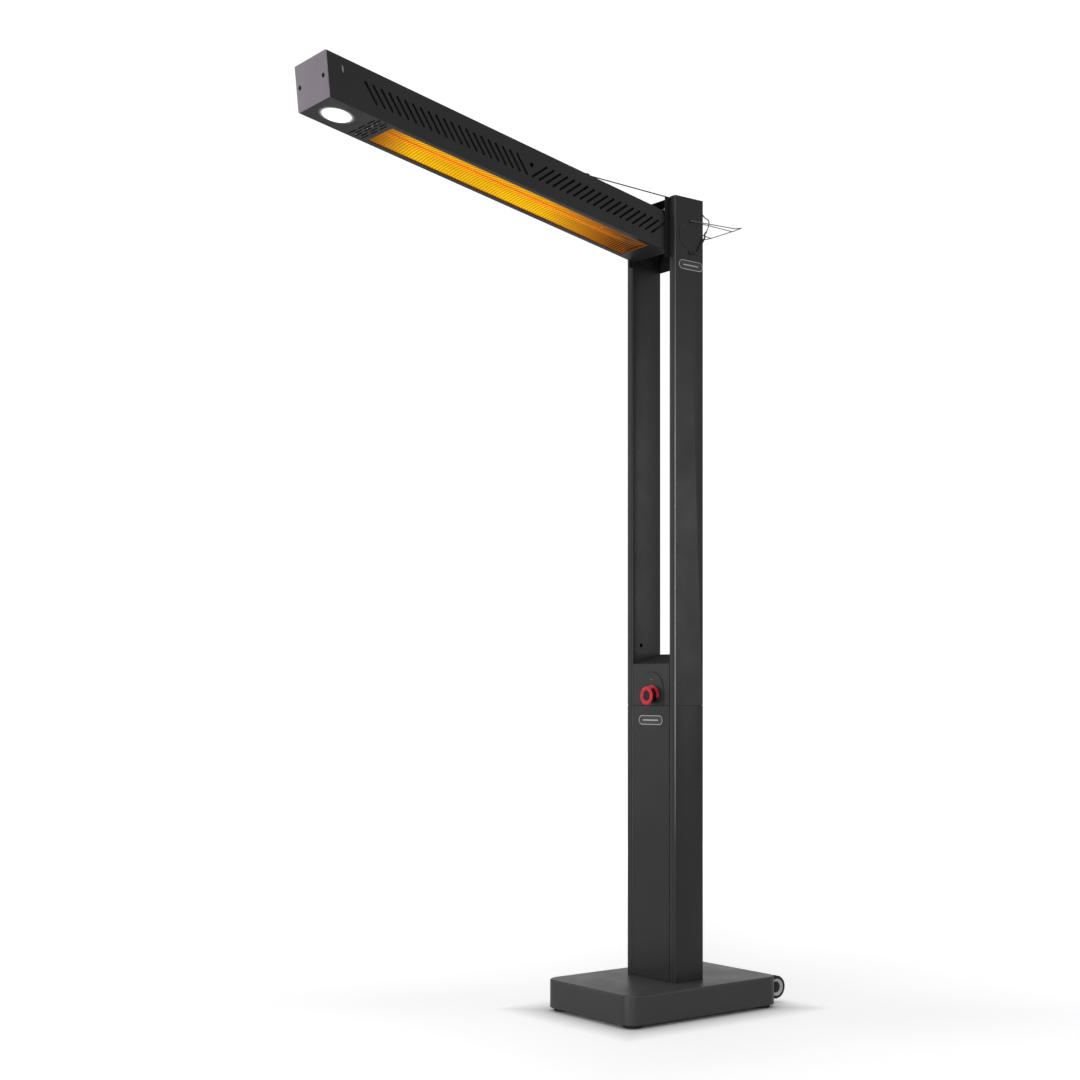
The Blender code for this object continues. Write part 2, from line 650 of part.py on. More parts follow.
def make_cable(finish, root, head):
    """The taut stay from the head's anchor to the saddle, and its loose tail."""
    start = Vector((CABLE_X, ANCHOR_Y + GAP, CABLE_ANCHOR_Z))
    end = Vector((CABLE_X, SADDLE_Y - GAP / 2, CABLE_SADDLE_Z))
    points = [start.lerp(end, i / 6) for i in range(7)]
    to_head = Matrix.Translation((0, PIVOT_Y, PIVOT_Z)) @ Matrix.Rotation(-TILT, 4, "X")
    points = [to_head.inverted() @ p for p in points]
    tube("stay_cable", points, CABLE_RADIUS, finish["rubber"], head)
    path = smooth_path(cable_tail_route(), 4)
    tube("cable_tail", path, CABLE_RADIUS, finish["rubber"], root)


def make_lock_pin(finish, pivot):
    """Round pin with a small head, along x from its own empty at the post's face."""
    depth = POST_WIDTH - POST_WALL - 0.001
    head = PIN_HEAD_THICKNESS
    profile = [(0, -depth), (PIN_RADIUS - 0.001, -depth), (PIN_RADIUS, -depth + 0.001)]
    profile += [(PIN_RADIUS, GAP), (PIN_HEAD_RADIUS, GAP), (PIN_HEAD_RADIUS, head - 0.001)]
    profile += [(PIN_HEAD_RADIUS - 0.001, head), (0, head)]
    turned("lock_pin", profile, "x", (0, 0, 0), finish["wire"], pivot, 16)


# ---------------------------------------------------------------- head


def head_outline(inset_top=0.0, inset_bottom=0.0, front_cut=0.0):
    """The head's side view: a parallelogram with its upper rear corner rounded."""
    top, under = HEAD_TOP_H - inset_top, HEAD_UNDER_H + inset_bottom
    slant = math.tan(END_SLANT)
    tip_top = HEAD_TIP_S - front_cut - slant * (HEAD_TOP_H - top)
    tip_under = HEAD_TIP_S - front_cut - slant * (HEAD_TOP_H - under)
    rear_under = HEAD_REAR_S - slant * (HEAD_TOP_H - under)
    radius = HEAD_REAR_CORNER
    corner = (HEAD_REAR_S + radius - 0.006, HEAD_TOP_H - radius)
    rounding = arc(corner, radius - inset_top, 90, 170, 8)
    outline = [(tip_top, top), (tip_under, under), (rear_under, under)]
    outline += reversed([point for point in rounding])
    return [head_point(s, h) for s, h in outline]


def add_vent(bm, s, h, lean, half_length, half_width):
    """One slot across the whole head, leaning at 45 degrees."""
    along = Vector((1, lean)).normalized() * half_length
    across = Vector((-lean, 1)).normalized() * half_width
    corners = (along + across, across - along, -along - across, along - across)
    outline = [head_point(s + c.x, h + c.y) for c in corners]
    add_prism(bm, outline, "x", -HEAD_HALF - 0.01, HEAD_HALF + 0.01)


def make_housing(finish, head):
    """The folded channel: roof and two slotted sides, open below and at both ends."""
    cap = CAP_THICKNESS / math.cos(END_SLANT) + GAP
    outline = head_outline(front_cut=cap)
    name = "head_housing"
    shell = prism(name, outline, "x", -HEAD_HALF, HEAD_HALF, finish["black_paint"], head)
    sheet = HEAD_SHEET
    inner = HEAD_HALF - sheet
    roof = HEAD_TOP_H - sheet
    rear_roof_s = HEAD_REAR_S + HEAD_REAR_CORNER - 0.006
    hollow = [(HEAD_TIP_S + 0.01, roof), (HEAD_TIP_S + 0.01, HEAD_UNDER_H - 0.01)]
    hollow += [(-0.05, HEAD_UNDER_H - 0.01), (-0.05, HEAD_TOP_H + 0.01)]
    hollow += [(rear_roof_s, HEAD_TOP_H + 0.01), (rear_roof_s, roof)]
    outline = [head_point(s, h) for s, h in hollow]
    cut(shell, prism("housing_hollow", outline, "x", -inner, inner, None, head))
    bm = bmesh.new()
    for count, first_s, lean in (FRONT_VENTS, REAR_VENTS):
        for i in range(count):
            s = first_s - i * VENT_PITCH
            add_vent(bm, s, 0.0006, lean, VENT_LENGTH / 2, VENT_WIDTH / 2)
    add_prism(bm, [head_point(s, h) for s, h in arc((0.4953, 0.0087), 0.006, 0, 330, 11)],
              "x", -HEAD_HALF - 0.01, HEAD_HALF + 0.01)
    add_vent(bm, 1.0342, 0.0253, 2.6, 0.0085, 0.0022)
    cut(shell, new_object("housing_vents", bm, None, head))


def make_fascia(finish, head):
    """The underside cover, with the window, the light's hole and a patch of short slots."""
    inner = HEAD_HALF - HEAD_SHEET - GAP
    slant = math.tan(END_SLANT) * (HEAD_TOP_H - HEAD_UNDER_H)
    front = HEAD_TIP_S - slant - CAP_THICKNESS / math.cos(END_SLANT) - GAP
    rear = HEAD_REAR_S - slant
    low, high = HEAD_UNDER_H, HEAD_UNDER_H + 0.0015
    plate = box("head_fascia", (-inner, -front, low), (inner, -rear, high),
                finish["black_paint"], head)
    window = box("fascia_window", (-WINDOW_HALF, -WINDOW_S[1], low - 0.01),
                 (WINDOW_HALF, -WINDOW_S[0], high + 0.01), None, head)
    cut(plate, window)
    hole = LIGHT_RADIUS + GAP
    profile = [(0, low - 0.01), (hole, low - 0.01), (hole, high + 0.01), (0, high + 0.01)]
    cut(plate, turned("light_hole", profile, "z", (0, -LIGHT_S, 0), None, head, 32))
    bm = bmesh.new()
    for row in range(5):
        y = -0.927 + row * 0.0085
        shift = 0.010 if row % 2 else -0.002
        for column in (-1, 0, 1):
            x = column * 0.040 + shift
            outline = rectangle(x - 0.0155, x + 0.0155, y - 0.0019, y + 0.0019)
            add_prism(bm, outline, "z", low - 0.01, high + 0.01)
    cut(plate, new_object("patch_slots", bm, None, head))


def make_front_cap(finish, head):
    """The slanting plate that closes the tip, with its two screws."""
    slant = math.tan(END_SLANT)
    thick = CAP_THICKNESS / math.cos(END_SLANT)
    under_s = HEAD_TIP_S - slant * (HEAD_TOP_H - HEAD_UNDER_H)
    outline = [(HEAD_TIP_S, HEAD_TOP_H), (under_s, HEAD_UNDER_H)]
    outline += [(under_s - thick, HEAD_UNDER_H), (HEAD_TIP_S - thick, HEAD_TOP_H)]
    outline = [head_point(s, h) for s, h in outline]
    prism("front_cap", outline, "x", -HEAD_HALF, HEAD_HALF, finish["cap_paint"], head)
    middle = (under_s + HEAD_TIP_S) / 2
    for name, side in SIDES:
        profile = [(0, GAP), (SCREW_RADIUS, GAP), (SCREW_RADIUS, 0.0012)]
        profile += [(SCREW_RADIUS * 0.6, 0.0020), (0, 0.0020)]
        seat = empty(f"screw_seat_{name}", (side * SCREW_X, -middle, 0), 0, head)
        seat.rotation_euler.x = math.radians(90) + END_SLANT
        turned(f"cap_screw_{name}", profile, "z", (0, 0, 0), finish["wire"], seat, 16)


def make_bracket(finish, head):
    """Two ears on the pivot shaft, joined by a web that closes the head's rear end."""
    front, top, under = 0.084, 0.0455, -0.0420
    start = 360 + math.degrees(math.asin(under / EAR_RADIUS))
    end = 180 - math.degrees(math.asin(top / EAR_RADIUS))
    outline = [(front, top), (front, under), *arc((0, 0), EAR_RADIUS, start, end, 16)]
    outline = [head_point(s, h) for s, h in outline]
    outer = EAR_X[1]
    bracket = prism("pivot_bracket", outline, "x", -outer, outer, finish["black_paint"], head)
    inner = EAR_X[0]
    hollow = rectangle(-front + PANEL_SHEET, 0.1, -0.1, 0.1)
    cut(bracket, prism("bracket_hollow", hollow, "x", -inner, inner, None, head))
    hole = SHAFT_RADIUS + RUNNING_GAP
    profile = [(0, -0.1), (hole, -0.1), (hole, 0.1), (0, 0.1)]
    cut(bracket, turned("bracket_hole", profile, "x", (0, 0, 0), None, head, 16))


def make_burner(finish, head):
    """The reflector trough, two lamp tubes between their holders, and the guard grille."""
    front, rear = WINDOW_S[1] + 0.006, WINDOW_S[0] - 0.006
    inner = [(0.0560, -0.0440), (0.0520, -0.0220), (0.0400, -0.0080), (0.0200, -0.0020)]
    sheet = 0.0012
    outer = [(x + sheet, h + sheet * 0.3) for x, h in inner[:2]]
    outer += [(x + sheet * 0.5, h + sheet) for x, h in inner[2:]]
    inside = inner + [(-x, h) for x, h in reversed(inner)]
    outside = outer + [(-x, h) for x, h in reversed(outer)]
    outline = inside + list(reversed(outside))
    prism("reflector", outline, "y", -front, -rear, finish["gold"], head)
    tube_h, tube_x, tube_radius = -0.0240, 0.0250, 0.006
    ends = (WINDOW_S[1] - 0.016, WINDOW_S[0] + 0.016)
    for name, side in SIDES:
        profile = [(0, -ends[0] + GAP), (tube_radius, -ends[0] + GAP)]
        profile += [(tube_radius, -ends[1] - GAP), (0, -ends[1] - GAP)]
        centre = (side * tube_x, 0, tube_h)
        turned(f"lamp_tube_{name}", profile, "y", centre, finish["glow"], head, 12)
    for name, low_s, high_s in (
        ("front", ends[0], ends[0] + 0.014),
        ("rear", ends[1] - 0.014, ends[1]),
    ):
        low = (-0.0375, -high_s, tube_h - 0.0095)
        high = (0.0375, -low_s, tube_h + 0.0095)
        box(f"lamp_holder_{name}", low, high, finish["ceramic"], head)
    bm = bmesh.new()
    low = HEAD_UNDER_H + 0.0015 + GAP
    high = low + 0.0015
    half = WINDOW_HALF + 0.003
    back, end = -WINDOW_S[0] + 0.003, -WINDOW_S[1] - 0.003
    grille = box("guard_grille", (-half, end, low), (half, back, high), finish["wire"], head)
    pitch = (WINDOW_S[1] - WINDOW_S[0]) / GRILLE_BARS
    for i in range(GRILLE_BARS):
        y = -WINDOW_S[1] + (i + 0.5) * pitch
        for x0, x1 in ((-WINDOW_HALF, -0.002), (0.002, WINDOW_HALF)):
            outline = rectangle(x0, x1, y - pitch / 2 + 0.0015, y + pitch / 2 - 0.0015)
            add_prism(bm, outline, "z", low - 0.01, high + 0.01)
    cut(grille, new_object("grille_gaps", bm, None, head))


def make_light(finish, head):
    """The round lamp in the underside, near the tip, with its driver behind it."""
    low = HEAD_UNDER_H
    radius = LIGHT_RADIUS
    profile = [(0, low - LIGHT_DOME)]
    for angle in (20, 40, 60, 80):
        turn = math.radians(angle)
        profile.append((radius * math.sin(turn), low - LIGHT_DOME * math.cos(turn)))
    profile += [(radius, low + 0.0004), (radius, low + 0.0040), (0, low + 0.0040)]
    turned("light_lens", profile, "z", (0, -LIGHT_S, 0), finish["lens"], head, 32)
    floor = low + 0.0040 + GAP
    profile = [(0, floor), (radius + 0.004, floor), (radius + 0.004, floor + 0.012)]
    profile += [(0.020, floor + 0.018), (0, floor + 0.018)]
    turned("light_module", profile, "z", (0, -LIGHT_S, 0), finish["aluminium"], head, 24)


def make_anchor(finish, head):
    """The clamp on the roof that holds the stay cable's end."""
    to_head = Matrix.Translation((0, PIVOT_Y, PIVOT_Z)) @ Matrix.Rotation(-TILT, 4, "X")
    hold = to_head.inverted() @ Vector((CABLE_X, ANCHOR_Y, CABLE_ANCHOR_Z))
    base = HEAD_TOP_H + GAP
    outline = [(hold.y - 0.026, base), (hold.y, base), (hold.y, hold.z + 0.0012)]
    outline += [(hold.y - 0.002, hold.z + 0.0020), (hold.y - 0.008, hold.z + 0.0016)]
    outline += [(hold.y - 0.026, base + 0.0010)]
    low, high = CABLE_X - 0.006, CABLE_X + 0.006
    prism("cable_anchor", outline, "x", low, high, finish["black_paint"], head)


def main():
    clear_scene()
    finish = {
        "black_paint": material("black_paint", (0.035, 0.036, 0.038), 0.45),
        "cap_paint": material("cap_paint", (0.16, 0.14, 0.16), 0.45),
        "steel": material("steel", (0.45, 0.45, 0.46), 0.35, 1.0),
        "wire": material("wire", (0.10, 0.10, 0.11), 0.40, 0.8),
        "aluminium": material("aluminium", (0.62, 0.63, 0.65), 0.35, 1.0),
        "grey": material("grey_plastic", (0.42, 0.42, 0.43), 0.30),
        "plastic": material("black_plastic", (0.02, 0.02, 0.02), 0.50),
        "rubber": material("rubber", (0.015, 0.015, 0.015), 0.75),
        "red": material("red_plastic", (0.65, 0.02, 0.04), 0.35),
        "gold": material("gold_reflector", (0.90, 0.55, 0.12), 0.20, 1.0),
        "glow": material("hot_tube", (1.00, 0.50, 0.08), 0.30),
        "ceramic": material("ceramic", (0.16, 0.12, 0.09), 0.60),
        "lens": material("lens", (0.92, 0.94, 0.95), 0.15),
    }
    root = empty("heater", (0, ORIGIN_Y, 0))
    head = empty("head_pivot", (0, PIVOT_Y, PIVOT_Z), -TILT, root)
    plate_face = -HALF_DEPTH + 0.0005 - 2 * GAP - TRIM_THICKNESS
    knob = empty("knob_pivot", (KNOB_X, plate_face, KNOB_Z), 0, root)
    pin = empty("pin_slide", (HALF_WIDTH, HOLE_Y, PIVOT_Z - HOLE_OFFSET), 0, root)
    hubs = {}
    for name, _ in SIDES:
        hubs[name] = empty(f"wheel_pivot_{name}", (0, WHEEL_Y, WHEEL_Z), 0, root)
    make_base(finish, root)
    make_posts(finish, root)
    make_panels(finish, root)
    make_control_box(finish, root)
    make_knob(finish, knob)
    make_badges(finish, root)
    make_hood(finish, root)
    make_pivot(finish, root)
    make_wheels(finish, root, hubs)
    make_wire_hook(finish, root)
    make_lock_pin(finish, pin)
    make_housing(finish, head)
    make_fascia(finish, head)
    make_front_cap(finish, head)
    make_bracket(finish, head)
    make_burner(finish, head)
    make_light(finish, head)
    make_anchor(finish, head)
    make_cable(finish, root, head)


main()
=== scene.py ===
"""Looks of the outdoor heater: finer meshes, materials, lights and the camera.

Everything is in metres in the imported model's frame. Head pieces are built in the
head's own axes: x across, y backwards along it, z upwards, from the pivot.
"""

import json
import math

import bmesh
import bpy
from mathutils import Matrix, Vector


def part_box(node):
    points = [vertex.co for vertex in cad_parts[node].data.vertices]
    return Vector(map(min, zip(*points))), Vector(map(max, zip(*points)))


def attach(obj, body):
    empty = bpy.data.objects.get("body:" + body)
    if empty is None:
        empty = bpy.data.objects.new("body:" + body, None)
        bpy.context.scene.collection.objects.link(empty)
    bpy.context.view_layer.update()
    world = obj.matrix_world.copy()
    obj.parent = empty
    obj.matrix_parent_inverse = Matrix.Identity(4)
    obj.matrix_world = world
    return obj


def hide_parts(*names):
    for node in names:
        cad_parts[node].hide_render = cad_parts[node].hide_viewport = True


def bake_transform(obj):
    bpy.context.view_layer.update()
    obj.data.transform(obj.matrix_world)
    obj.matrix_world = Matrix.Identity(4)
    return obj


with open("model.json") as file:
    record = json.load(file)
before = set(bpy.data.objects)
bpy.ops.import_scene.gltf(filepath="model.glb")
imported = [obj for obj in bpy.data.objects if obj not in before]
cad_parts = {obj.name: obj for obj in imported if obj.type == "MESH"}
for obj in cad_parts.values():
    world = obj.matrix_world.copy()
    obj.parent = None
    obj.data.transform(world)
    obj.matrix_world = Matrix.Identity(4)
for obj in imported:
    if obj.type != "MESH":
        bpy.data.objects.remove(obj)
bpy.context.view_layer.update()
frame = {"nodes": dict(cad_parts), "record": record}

RECORD = frame["record"]
JOINTS = {joint["name"]: joint for joint in RECORD["behaviour"]["joints"]}
SLOT_OF = {part["node"]: part["material_slot"] for part in RECORD["subparts"]}
BODY_OF = {
    node: body for body, nodes in RECORD["behaviour"]["bodies"].items() for node in nodes
}

PIVOT = Vector(JOINTS["head_tilt"]["pos_m"])
KNOB = Vector(JOINTS["control_knob_turn"]["pos_m"])
AXLE = Vector(JOINTS["wheel_left_spin"]["pos_m"])
COLUMN_Y = PIVOT.y + 0.005  # the middle of the posts
TILT = math.radians(10.63)
HEAD = Matrix.Translation(PIVOT) @ Matrix.Rotation(-TILT, 4, "X")

# Stand: the column's half section, the badges' rims, the two index holes, the cable.
HALF_WIDTH = 0.0945
HALF_DEPTH = 0.049
BADGE_RIM = 0.0016
INDEX_HOLE = 0.0405  # each hole's distance from the pivot, upwards or downwards
CABLE_RADIUS = 0.0015
CABLE_X = 0.055
SADDLE_Y = 0.0420
SADDLE_Z = 2.1014

# Head, in its own axes: its underside, the window in it, the light and the lamps.
HEAD_UNDER = -0.0487
END_SLANT = math.radians(16.2)  # how far the front cap leans back
WINDOW_HALF = 0.054
WINDOW_Y = (-0.8790, -0.0919)
LIGHT_Y = -0.9955
LIGHT_RADIUS = 0.034
BEZEL_WIDTH = 0.0085
GRILLE_PITCH = 0.0082
GRILLE_WIRE = 0.0009
GRILLE_RISE = 0.0080
LAMP_X = 0.025
LAMP_Z = -0.024
LAMP_RADIUS = 0.006
LAMP_END_Y = (-0.8627, -0.1082)

# Camera: level, so the verticals stay vertical, with the frame shifted upwards.
CAMERA_FROM_COLUMN = Vector((3.336, -2.971, 0.8445))
CAMERA_AZIMUTH = math.radians(52.51)
CAMERA_LENS = 56.716
CAMERA_SHIFT = 0.13486
WORLD_LIGHT = 0.30


# ---------------------------------------------------------------- mesh helpers


SHARP_EDGE = math.radians(35)


def piece(name, bm, mat, body, replaced=(), matrix=None):
    """Makes a smooth object that rides a body and stands for the replaced CAD nodes."""
    bmesh.ops.recalc_face_normals(bm, faces=bm.faces)
    mesh = bpy.data.meshes.new(name)
    bm.to_mesh(mesh)
    bm.free()
    mesh.shade_smooth()
    mesh.set_sharp_from_angle(angle=SHARP_EDGE)
    mesh.materials.append(mat)
    obj = bpy.data.objects.new(name, mesh)
    bpy.context.collection.objects.link(obj)
    if matrix is not None:
        obj.matrix_world = matrix
    if body is not None:
        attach(obj, body)
    if replaced:
        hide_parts(*replaced)
    return obj


def add_turned(bm, profile, matrix, segments=48):
    """Turns (radius, along) points round z, then places them with the matrix."""
    rings = []
    for radius, along in profile:
        count = 1 if radius == 0 else segments
        ring = []
        for i in range(count):
            angle = 2 * math.pi * i / segments
            place = (radius * math.cos(angle), radius * math.sin(angle), along)
            ring.append(bm.verts.new(matrix @ Vector(place)))
        rings.append(ring)
    closed = profile[0][0] > 0
    for first, second in zip(rings, rings[1:] + rings[:1] if closed else rings[1:]):
        for i in range(segments):
            j = (i + 1) % segments
            corners = [first[i % len(first)], first[j % len(first)]]
            corners += [second[j % len(second)], second[i % len(second)]]
            bm.faces.new(list(dict.fromkeys(corners)))


def add_tube(bm, path, radius, sides):
    """A round wire along the path, closed at both ends."""
    points = [Vector(p) for p in path]
    rings = []
    side = None
    for i, point in enumerate(points):
        before, after = points[max(i - 1, 0)], points[min(i + 1, len(points) - 1)]
        along = (after - before).normalized()
        if side is None:
            side = along.orthogonal()
        side = (side - along * side.dot(along)).normalized()
        up = along.cross(side)
        ring = []
        for k in range(sides):
            angle = 2 * math.pi * k / sides
            offset = side * math.cos(angle) + up * math.sin(angle)
            ring.append(bm.verts.new(point + offset * radius))
        rings.append(ring)
    add_walls(bm, rings)
    bm.faces.new(rings[0])
    bm.faces.new(rings[-1])


def add_outline(bm, outline, axis, along):
    """An outline's vertices in (y, z), (x, z) or (x, y), at a place along x, y or z."""
    order = {"x": (2, 0, 1), "y": (0, 2, 1), "z": (0, 1, 2)}[axis]
    return [bm.verts.new([(a, b, along)[k] for k in order]) for a, b in outline]


def add_walls(bm, rings):
    """Joins each closed ring of vertices to the next one with four-sided faces."""
    for first, second in zip(rings, rings[1:]):
        for i in range(len(first)):
            j = (i + 1) % len(first)
            bm.faces.new((first[i], first[j], second[j], second[i]))


def add_prism(bm, outline, axis, low, high):
    """Extrudes an outline along the axis and closes both ends."""
    rings = [add_outline(bm, outline, axis, along) for along in (low, high)]
    add_walls(bm, rings)
    bm.faces.new(rings[0])
    bm.faces.new(rings[1])


def add_frame(bm, outer, inner, axis, back, front):
    """A closed ring between two outlines with the same number of points."""
    corners = [(outer, back), (outer, front), (inner, front), (inner, back)]
    rings = [add_outline(bm, outline, axis, along) for outline, along in corners]
    add_walls(bm, [*rings, rings[0]])


def arc(centre, radius, start, end, steps):
    """Points round a centre, from the start angle to the end angle in degrees."""
    points = []
    for i in range(steps + 1):
        angle = math.radians(start + (end - start) * i / steps)
        x, y = radius * math.cos(angle), radius * math.sin(angle)
        points.append((centre[0] + x, centre[1] + y))
    return points


def rounded_rectangle(half_a, half_b, radius, steps, centre):
    """The outline of a rectangle with rounded corners, from its half sizes."""
    points = []
    for corner, start in (((1, 1), 0), ((-1, 1), 90), ((-1, -1), 180), ((1, -1), 270)):
        a = centre[0] + corner[0] * (half_a - radius)
        b = centre[1] + corner[1] * (half_b - radius)
        points += arc((a, b), radius, start, start + 90, steps)
    return points


def along_axis(axis, centre, flip=1):
    """The matrix that puts a turned profile's z on a row axis, through centre."""
    turn = {
        "x": Matrix.Rotation(math.radians(90 * flip), 4, "Y"),
        "y": Matrix.Rotation(math.radians(-90 * flip), 4, "X"),
    }[axis]
    return Matrix.Translation(centre) @ turn


def smooth_path(points, steps):
    """A Catmull-Rom curve through the points."""
    path = [Vector(p) for p in points]
    padded = [2 * path[0] - path[1], *path, 2 * path[-1] - path[-2]]
    result = []
    for i in range(1, len(padded) - 2):
        a, b, c, d = padded[i - 1 : i + 3]
        for step in range(steps):
            t = step / steps
            bend = 2 * b + (c - a) * t
            bend += (2 * a - 5 * b + 4 * c - d) * t**2
            bend += (3 * b - a - 3 * c + d) * t**3
            result.append(bend / 2)
    return [*result, path[-1]]


def rounded_bends(points, radius, steps=6):
    """Straight stretches between the points, with a rounded bend at each of them."""
    path = [Vector(p) for p in points]
    result = [path[0]]
    for before, corner, after in zip(path, path[1:], path[2:]):
        start = corner + (before - corner).normalized() * radius
        end = corner + (after - corner).normalized() * radius
        for step in range(steps + 1):
            t = step / steps
            result.append(start * (1 - t) ** 2 + corner * 2 * t * (1 - t) + end * t**2)
    return [*result, path[-1]]


def softened(node, mat, width, segments=3):
    """A CAD node's own shape with its hard edges rounded, as a bent or moulded edge is."""
    bm = bmesh.new()
    bm.from_mesh(frame["nodes"][node].data)
    bmesh.ops.remove_doubles(bm, verts=bm.verts, dist=0.00002)
    flat, hard = math.radians(1.0), math.radians(30)
    bmesh.ops.dissolve_limit(bm, angle_limit=flat, verts=bm.verts, edges=bm.edges)
    obj = piece(f"{node}_skin", bm, mat, BODY_OF[node], [node])
    bevel = obj.modifiers.new("edges", "BEVEL")
    bevel.width = width
    bevel.segments = segments
    bevel.limit_method = "ANGLE"
    bevel.angle_limit = hard
    bevel.harden_normals = True


# ---------------------------------------------------------------- materials


class Shader:
    """A Principled material with short calls for the nodes that feed it."""

    def __init__(self, name, colour, roughness, metallic=0.0):
        self.mat = bpy.data.materials.new(name)
        self.mat.use_nodes = True
        self.nodes = self.mat.node_tree.nodes
        self.links = self.mat.node_tree.links
        self.bsdf = self.nodes["Principled BSDF"]
        self.bsdf.inputs["Base Color"].default_value = (*colour, 1)
        self.bsdf.inputs["Roughness"].default_value = roughness
        self.bsdf.inputs["Metallic"].default_value = metallic
        self.place = self.nodes.new("ShaderNodeTexCoord").outputs["Object"]

    def link(self, value, socket):
        if isinstance(value, bpy.types.NodeSocket):
            self.links.new(value, socket)
        else:
            socket.default_value = value

    def split(self, vector=None):
        """The x, y and z of a vector, or of the place on the piece."""
        node = self.nodes.new("ShaderNodeSeparateXYZ")
        self.links.new(vector or self.place, node.inputs["Vector"])
        return node.outputs

    def away_from(self, centre):
        """The distance from a point in the piece's own axes."""
        node = self.nodes.new("ShaderNodeVectorMath")
        node.operation = "DISTANCE"
        node.inputs[1].default_value = centre
        self.links.new(self.place, node.inputs[0])
        return node.outputs["Value"]

    def stretched(self, scale):
        """The place with each axis scaled, for patterns with a grain."""
        mapping = self.nodes.new("ShaderNodeMapping")
        mapping.inputs["Scale"].default_value = scale
        self.links.new(self.place, mapping.inputs["Vector"])
        return mapping.outputs["Vector"]

    def noise(self, scale, detail=3.0, vector=None, rough=0.5):
        node = self.nodes.new("ShaderNodeTexNoise")
        node.inputs["Scale"].default_value = scale
        node.inputs["Detail"].default_value = detail
        node.inputs["Roughness"].default_value = rough
        self.links.new(vector or self.place, node.inputs["Vector"])
        return node.outputs["Fac"]

    def fit(self, value, low, high, start=0.3, end=0.7):
        """Rescales a 0 to 1 pattern, mostly between start and end, to low to high."""
        node = self.nodes.new("ShaderNodeMapRange")
        node.inputs["From Min"].default_value = start
        node.inputs["From Max"].default_value = end
        node.inputs["To Min"].default_value = low
        node.inputs["To Max"].default_value = high
        self.link(value, node.inputs["Value"])
        return node.outputs["Result"]

    def maths(self, operation, first, second=0.0):
        node = self.nodes.new("ShaderNodeMath")
        node.operation = operation
        self.link(first, node.inputs[0])
        self.link(second, node.inputs[1])
        return node.outputs["Value"]

    def mix(self, factor, first, second):
        """A blend of two colours, on the mix node's colour sockets."""
        node = self.nodes.new("ShaderNodeMix")
        node.data_type = "RGBA"
        self.link(factor, node.inputs["Factor"])
        for value, index in ((first, 6), (second, 7)):
            if isinstance(value, tuple):
                value = (*value, 1)
            self.link(value, node.inputs[index])
        return node.outputs[2]

    def facing_up(self, start, end):
        """0 to 1 as a surface turns to face upwards."""
        normal = self.nodes.new("ShaderNodeNewGeometry").outputs["Normal"]
        return self.fit(self.split(normal)["Z"], 0.0, 1.0, start, end)

    def bump(self, height, distance, strength=1.0, below=None):
        node = self.nodes.new("ShaderNodeBump")
        node.inputs["Distance"].default_value = distance
        node.inputs["Strength"].default_value = strength
        self.link(height, node.inputs["Height"])
        if below is not None:
            self.links.new(below, node.inputs["Normal"])
        return node.outputs["Normal"]

    def finish(self, colour=None, roughness=None, normal=None, **values):
        if colour is not None:
            self.link(colour, self.bsdf.inputs["Base Color"])
        if roughness is not None:
            self.link(roughness, self.bsdf.inputs["Roughness"])
        if normal is not None:
            self.link(normal, self.bsdf.inputs["Normal"])
        for name, value in values.items():
            self.bsdf.inputs[name.replace("_", " ").title()].default_value = value
        return self.mat


# Colour of the dusty film on tops, which also paints the light on top faces. SHADE is
# painted shade on tops.
DUST_AND_TOP_LIGHT = (0.34, 0.33, 0.31)
SHADE = (0.0005, 0.0005, 0.0005)
# Colour of the painted highlight along the posts' upright corners.
PAINTED_HIGHLIGHT = (0.34, 0.34, 0.35)
HIGHLIGHT_STARTS = (0.42, 0.80)  # heights over which the painted edge highlight comes in
HIGHLIGHT_ENDS = (1.45, 2.0)


def scaled(colour, factor):
    return tuple(channel * factor for channel in colour)


def painted_edge_highlight(s, x, y, reach):
    """1 along the upright corners at (x, y) and (-x, y), within reach, fading in and out
    with height: a painted highlight on the bends.
    """
    place = s.split()
    across = s.maths("SUBTRACT", s.maths("ABSOLUTE", place["X"]), x)
    along = s.maths("SUBTRACT", place["Y"], y)
    squares = [s.maths("MULTIPLY", value, value) for value in (across, along)]
    away = s.maths("SQRT", s.maths("ADD", *squares))
    edge = s.fit(away, 1.0, 0.0, reach * 0.7, reach)
    highlight_height = s.maths("MULTIPLY", s.fit(place["Z"], 0.0, 1.0, *HIGHLIGHT_STARTS),
                   s.fit(place["Z"], 1.0, 0.15, *HIGHLIGHT_ENDS))
    uneven = s.fit(s.noise(14.0, 4), 0.8, 1.0)
    return s.maths("MULTIPLY", s.maths("MULTIPLY", edge, highlight_height), uneven)


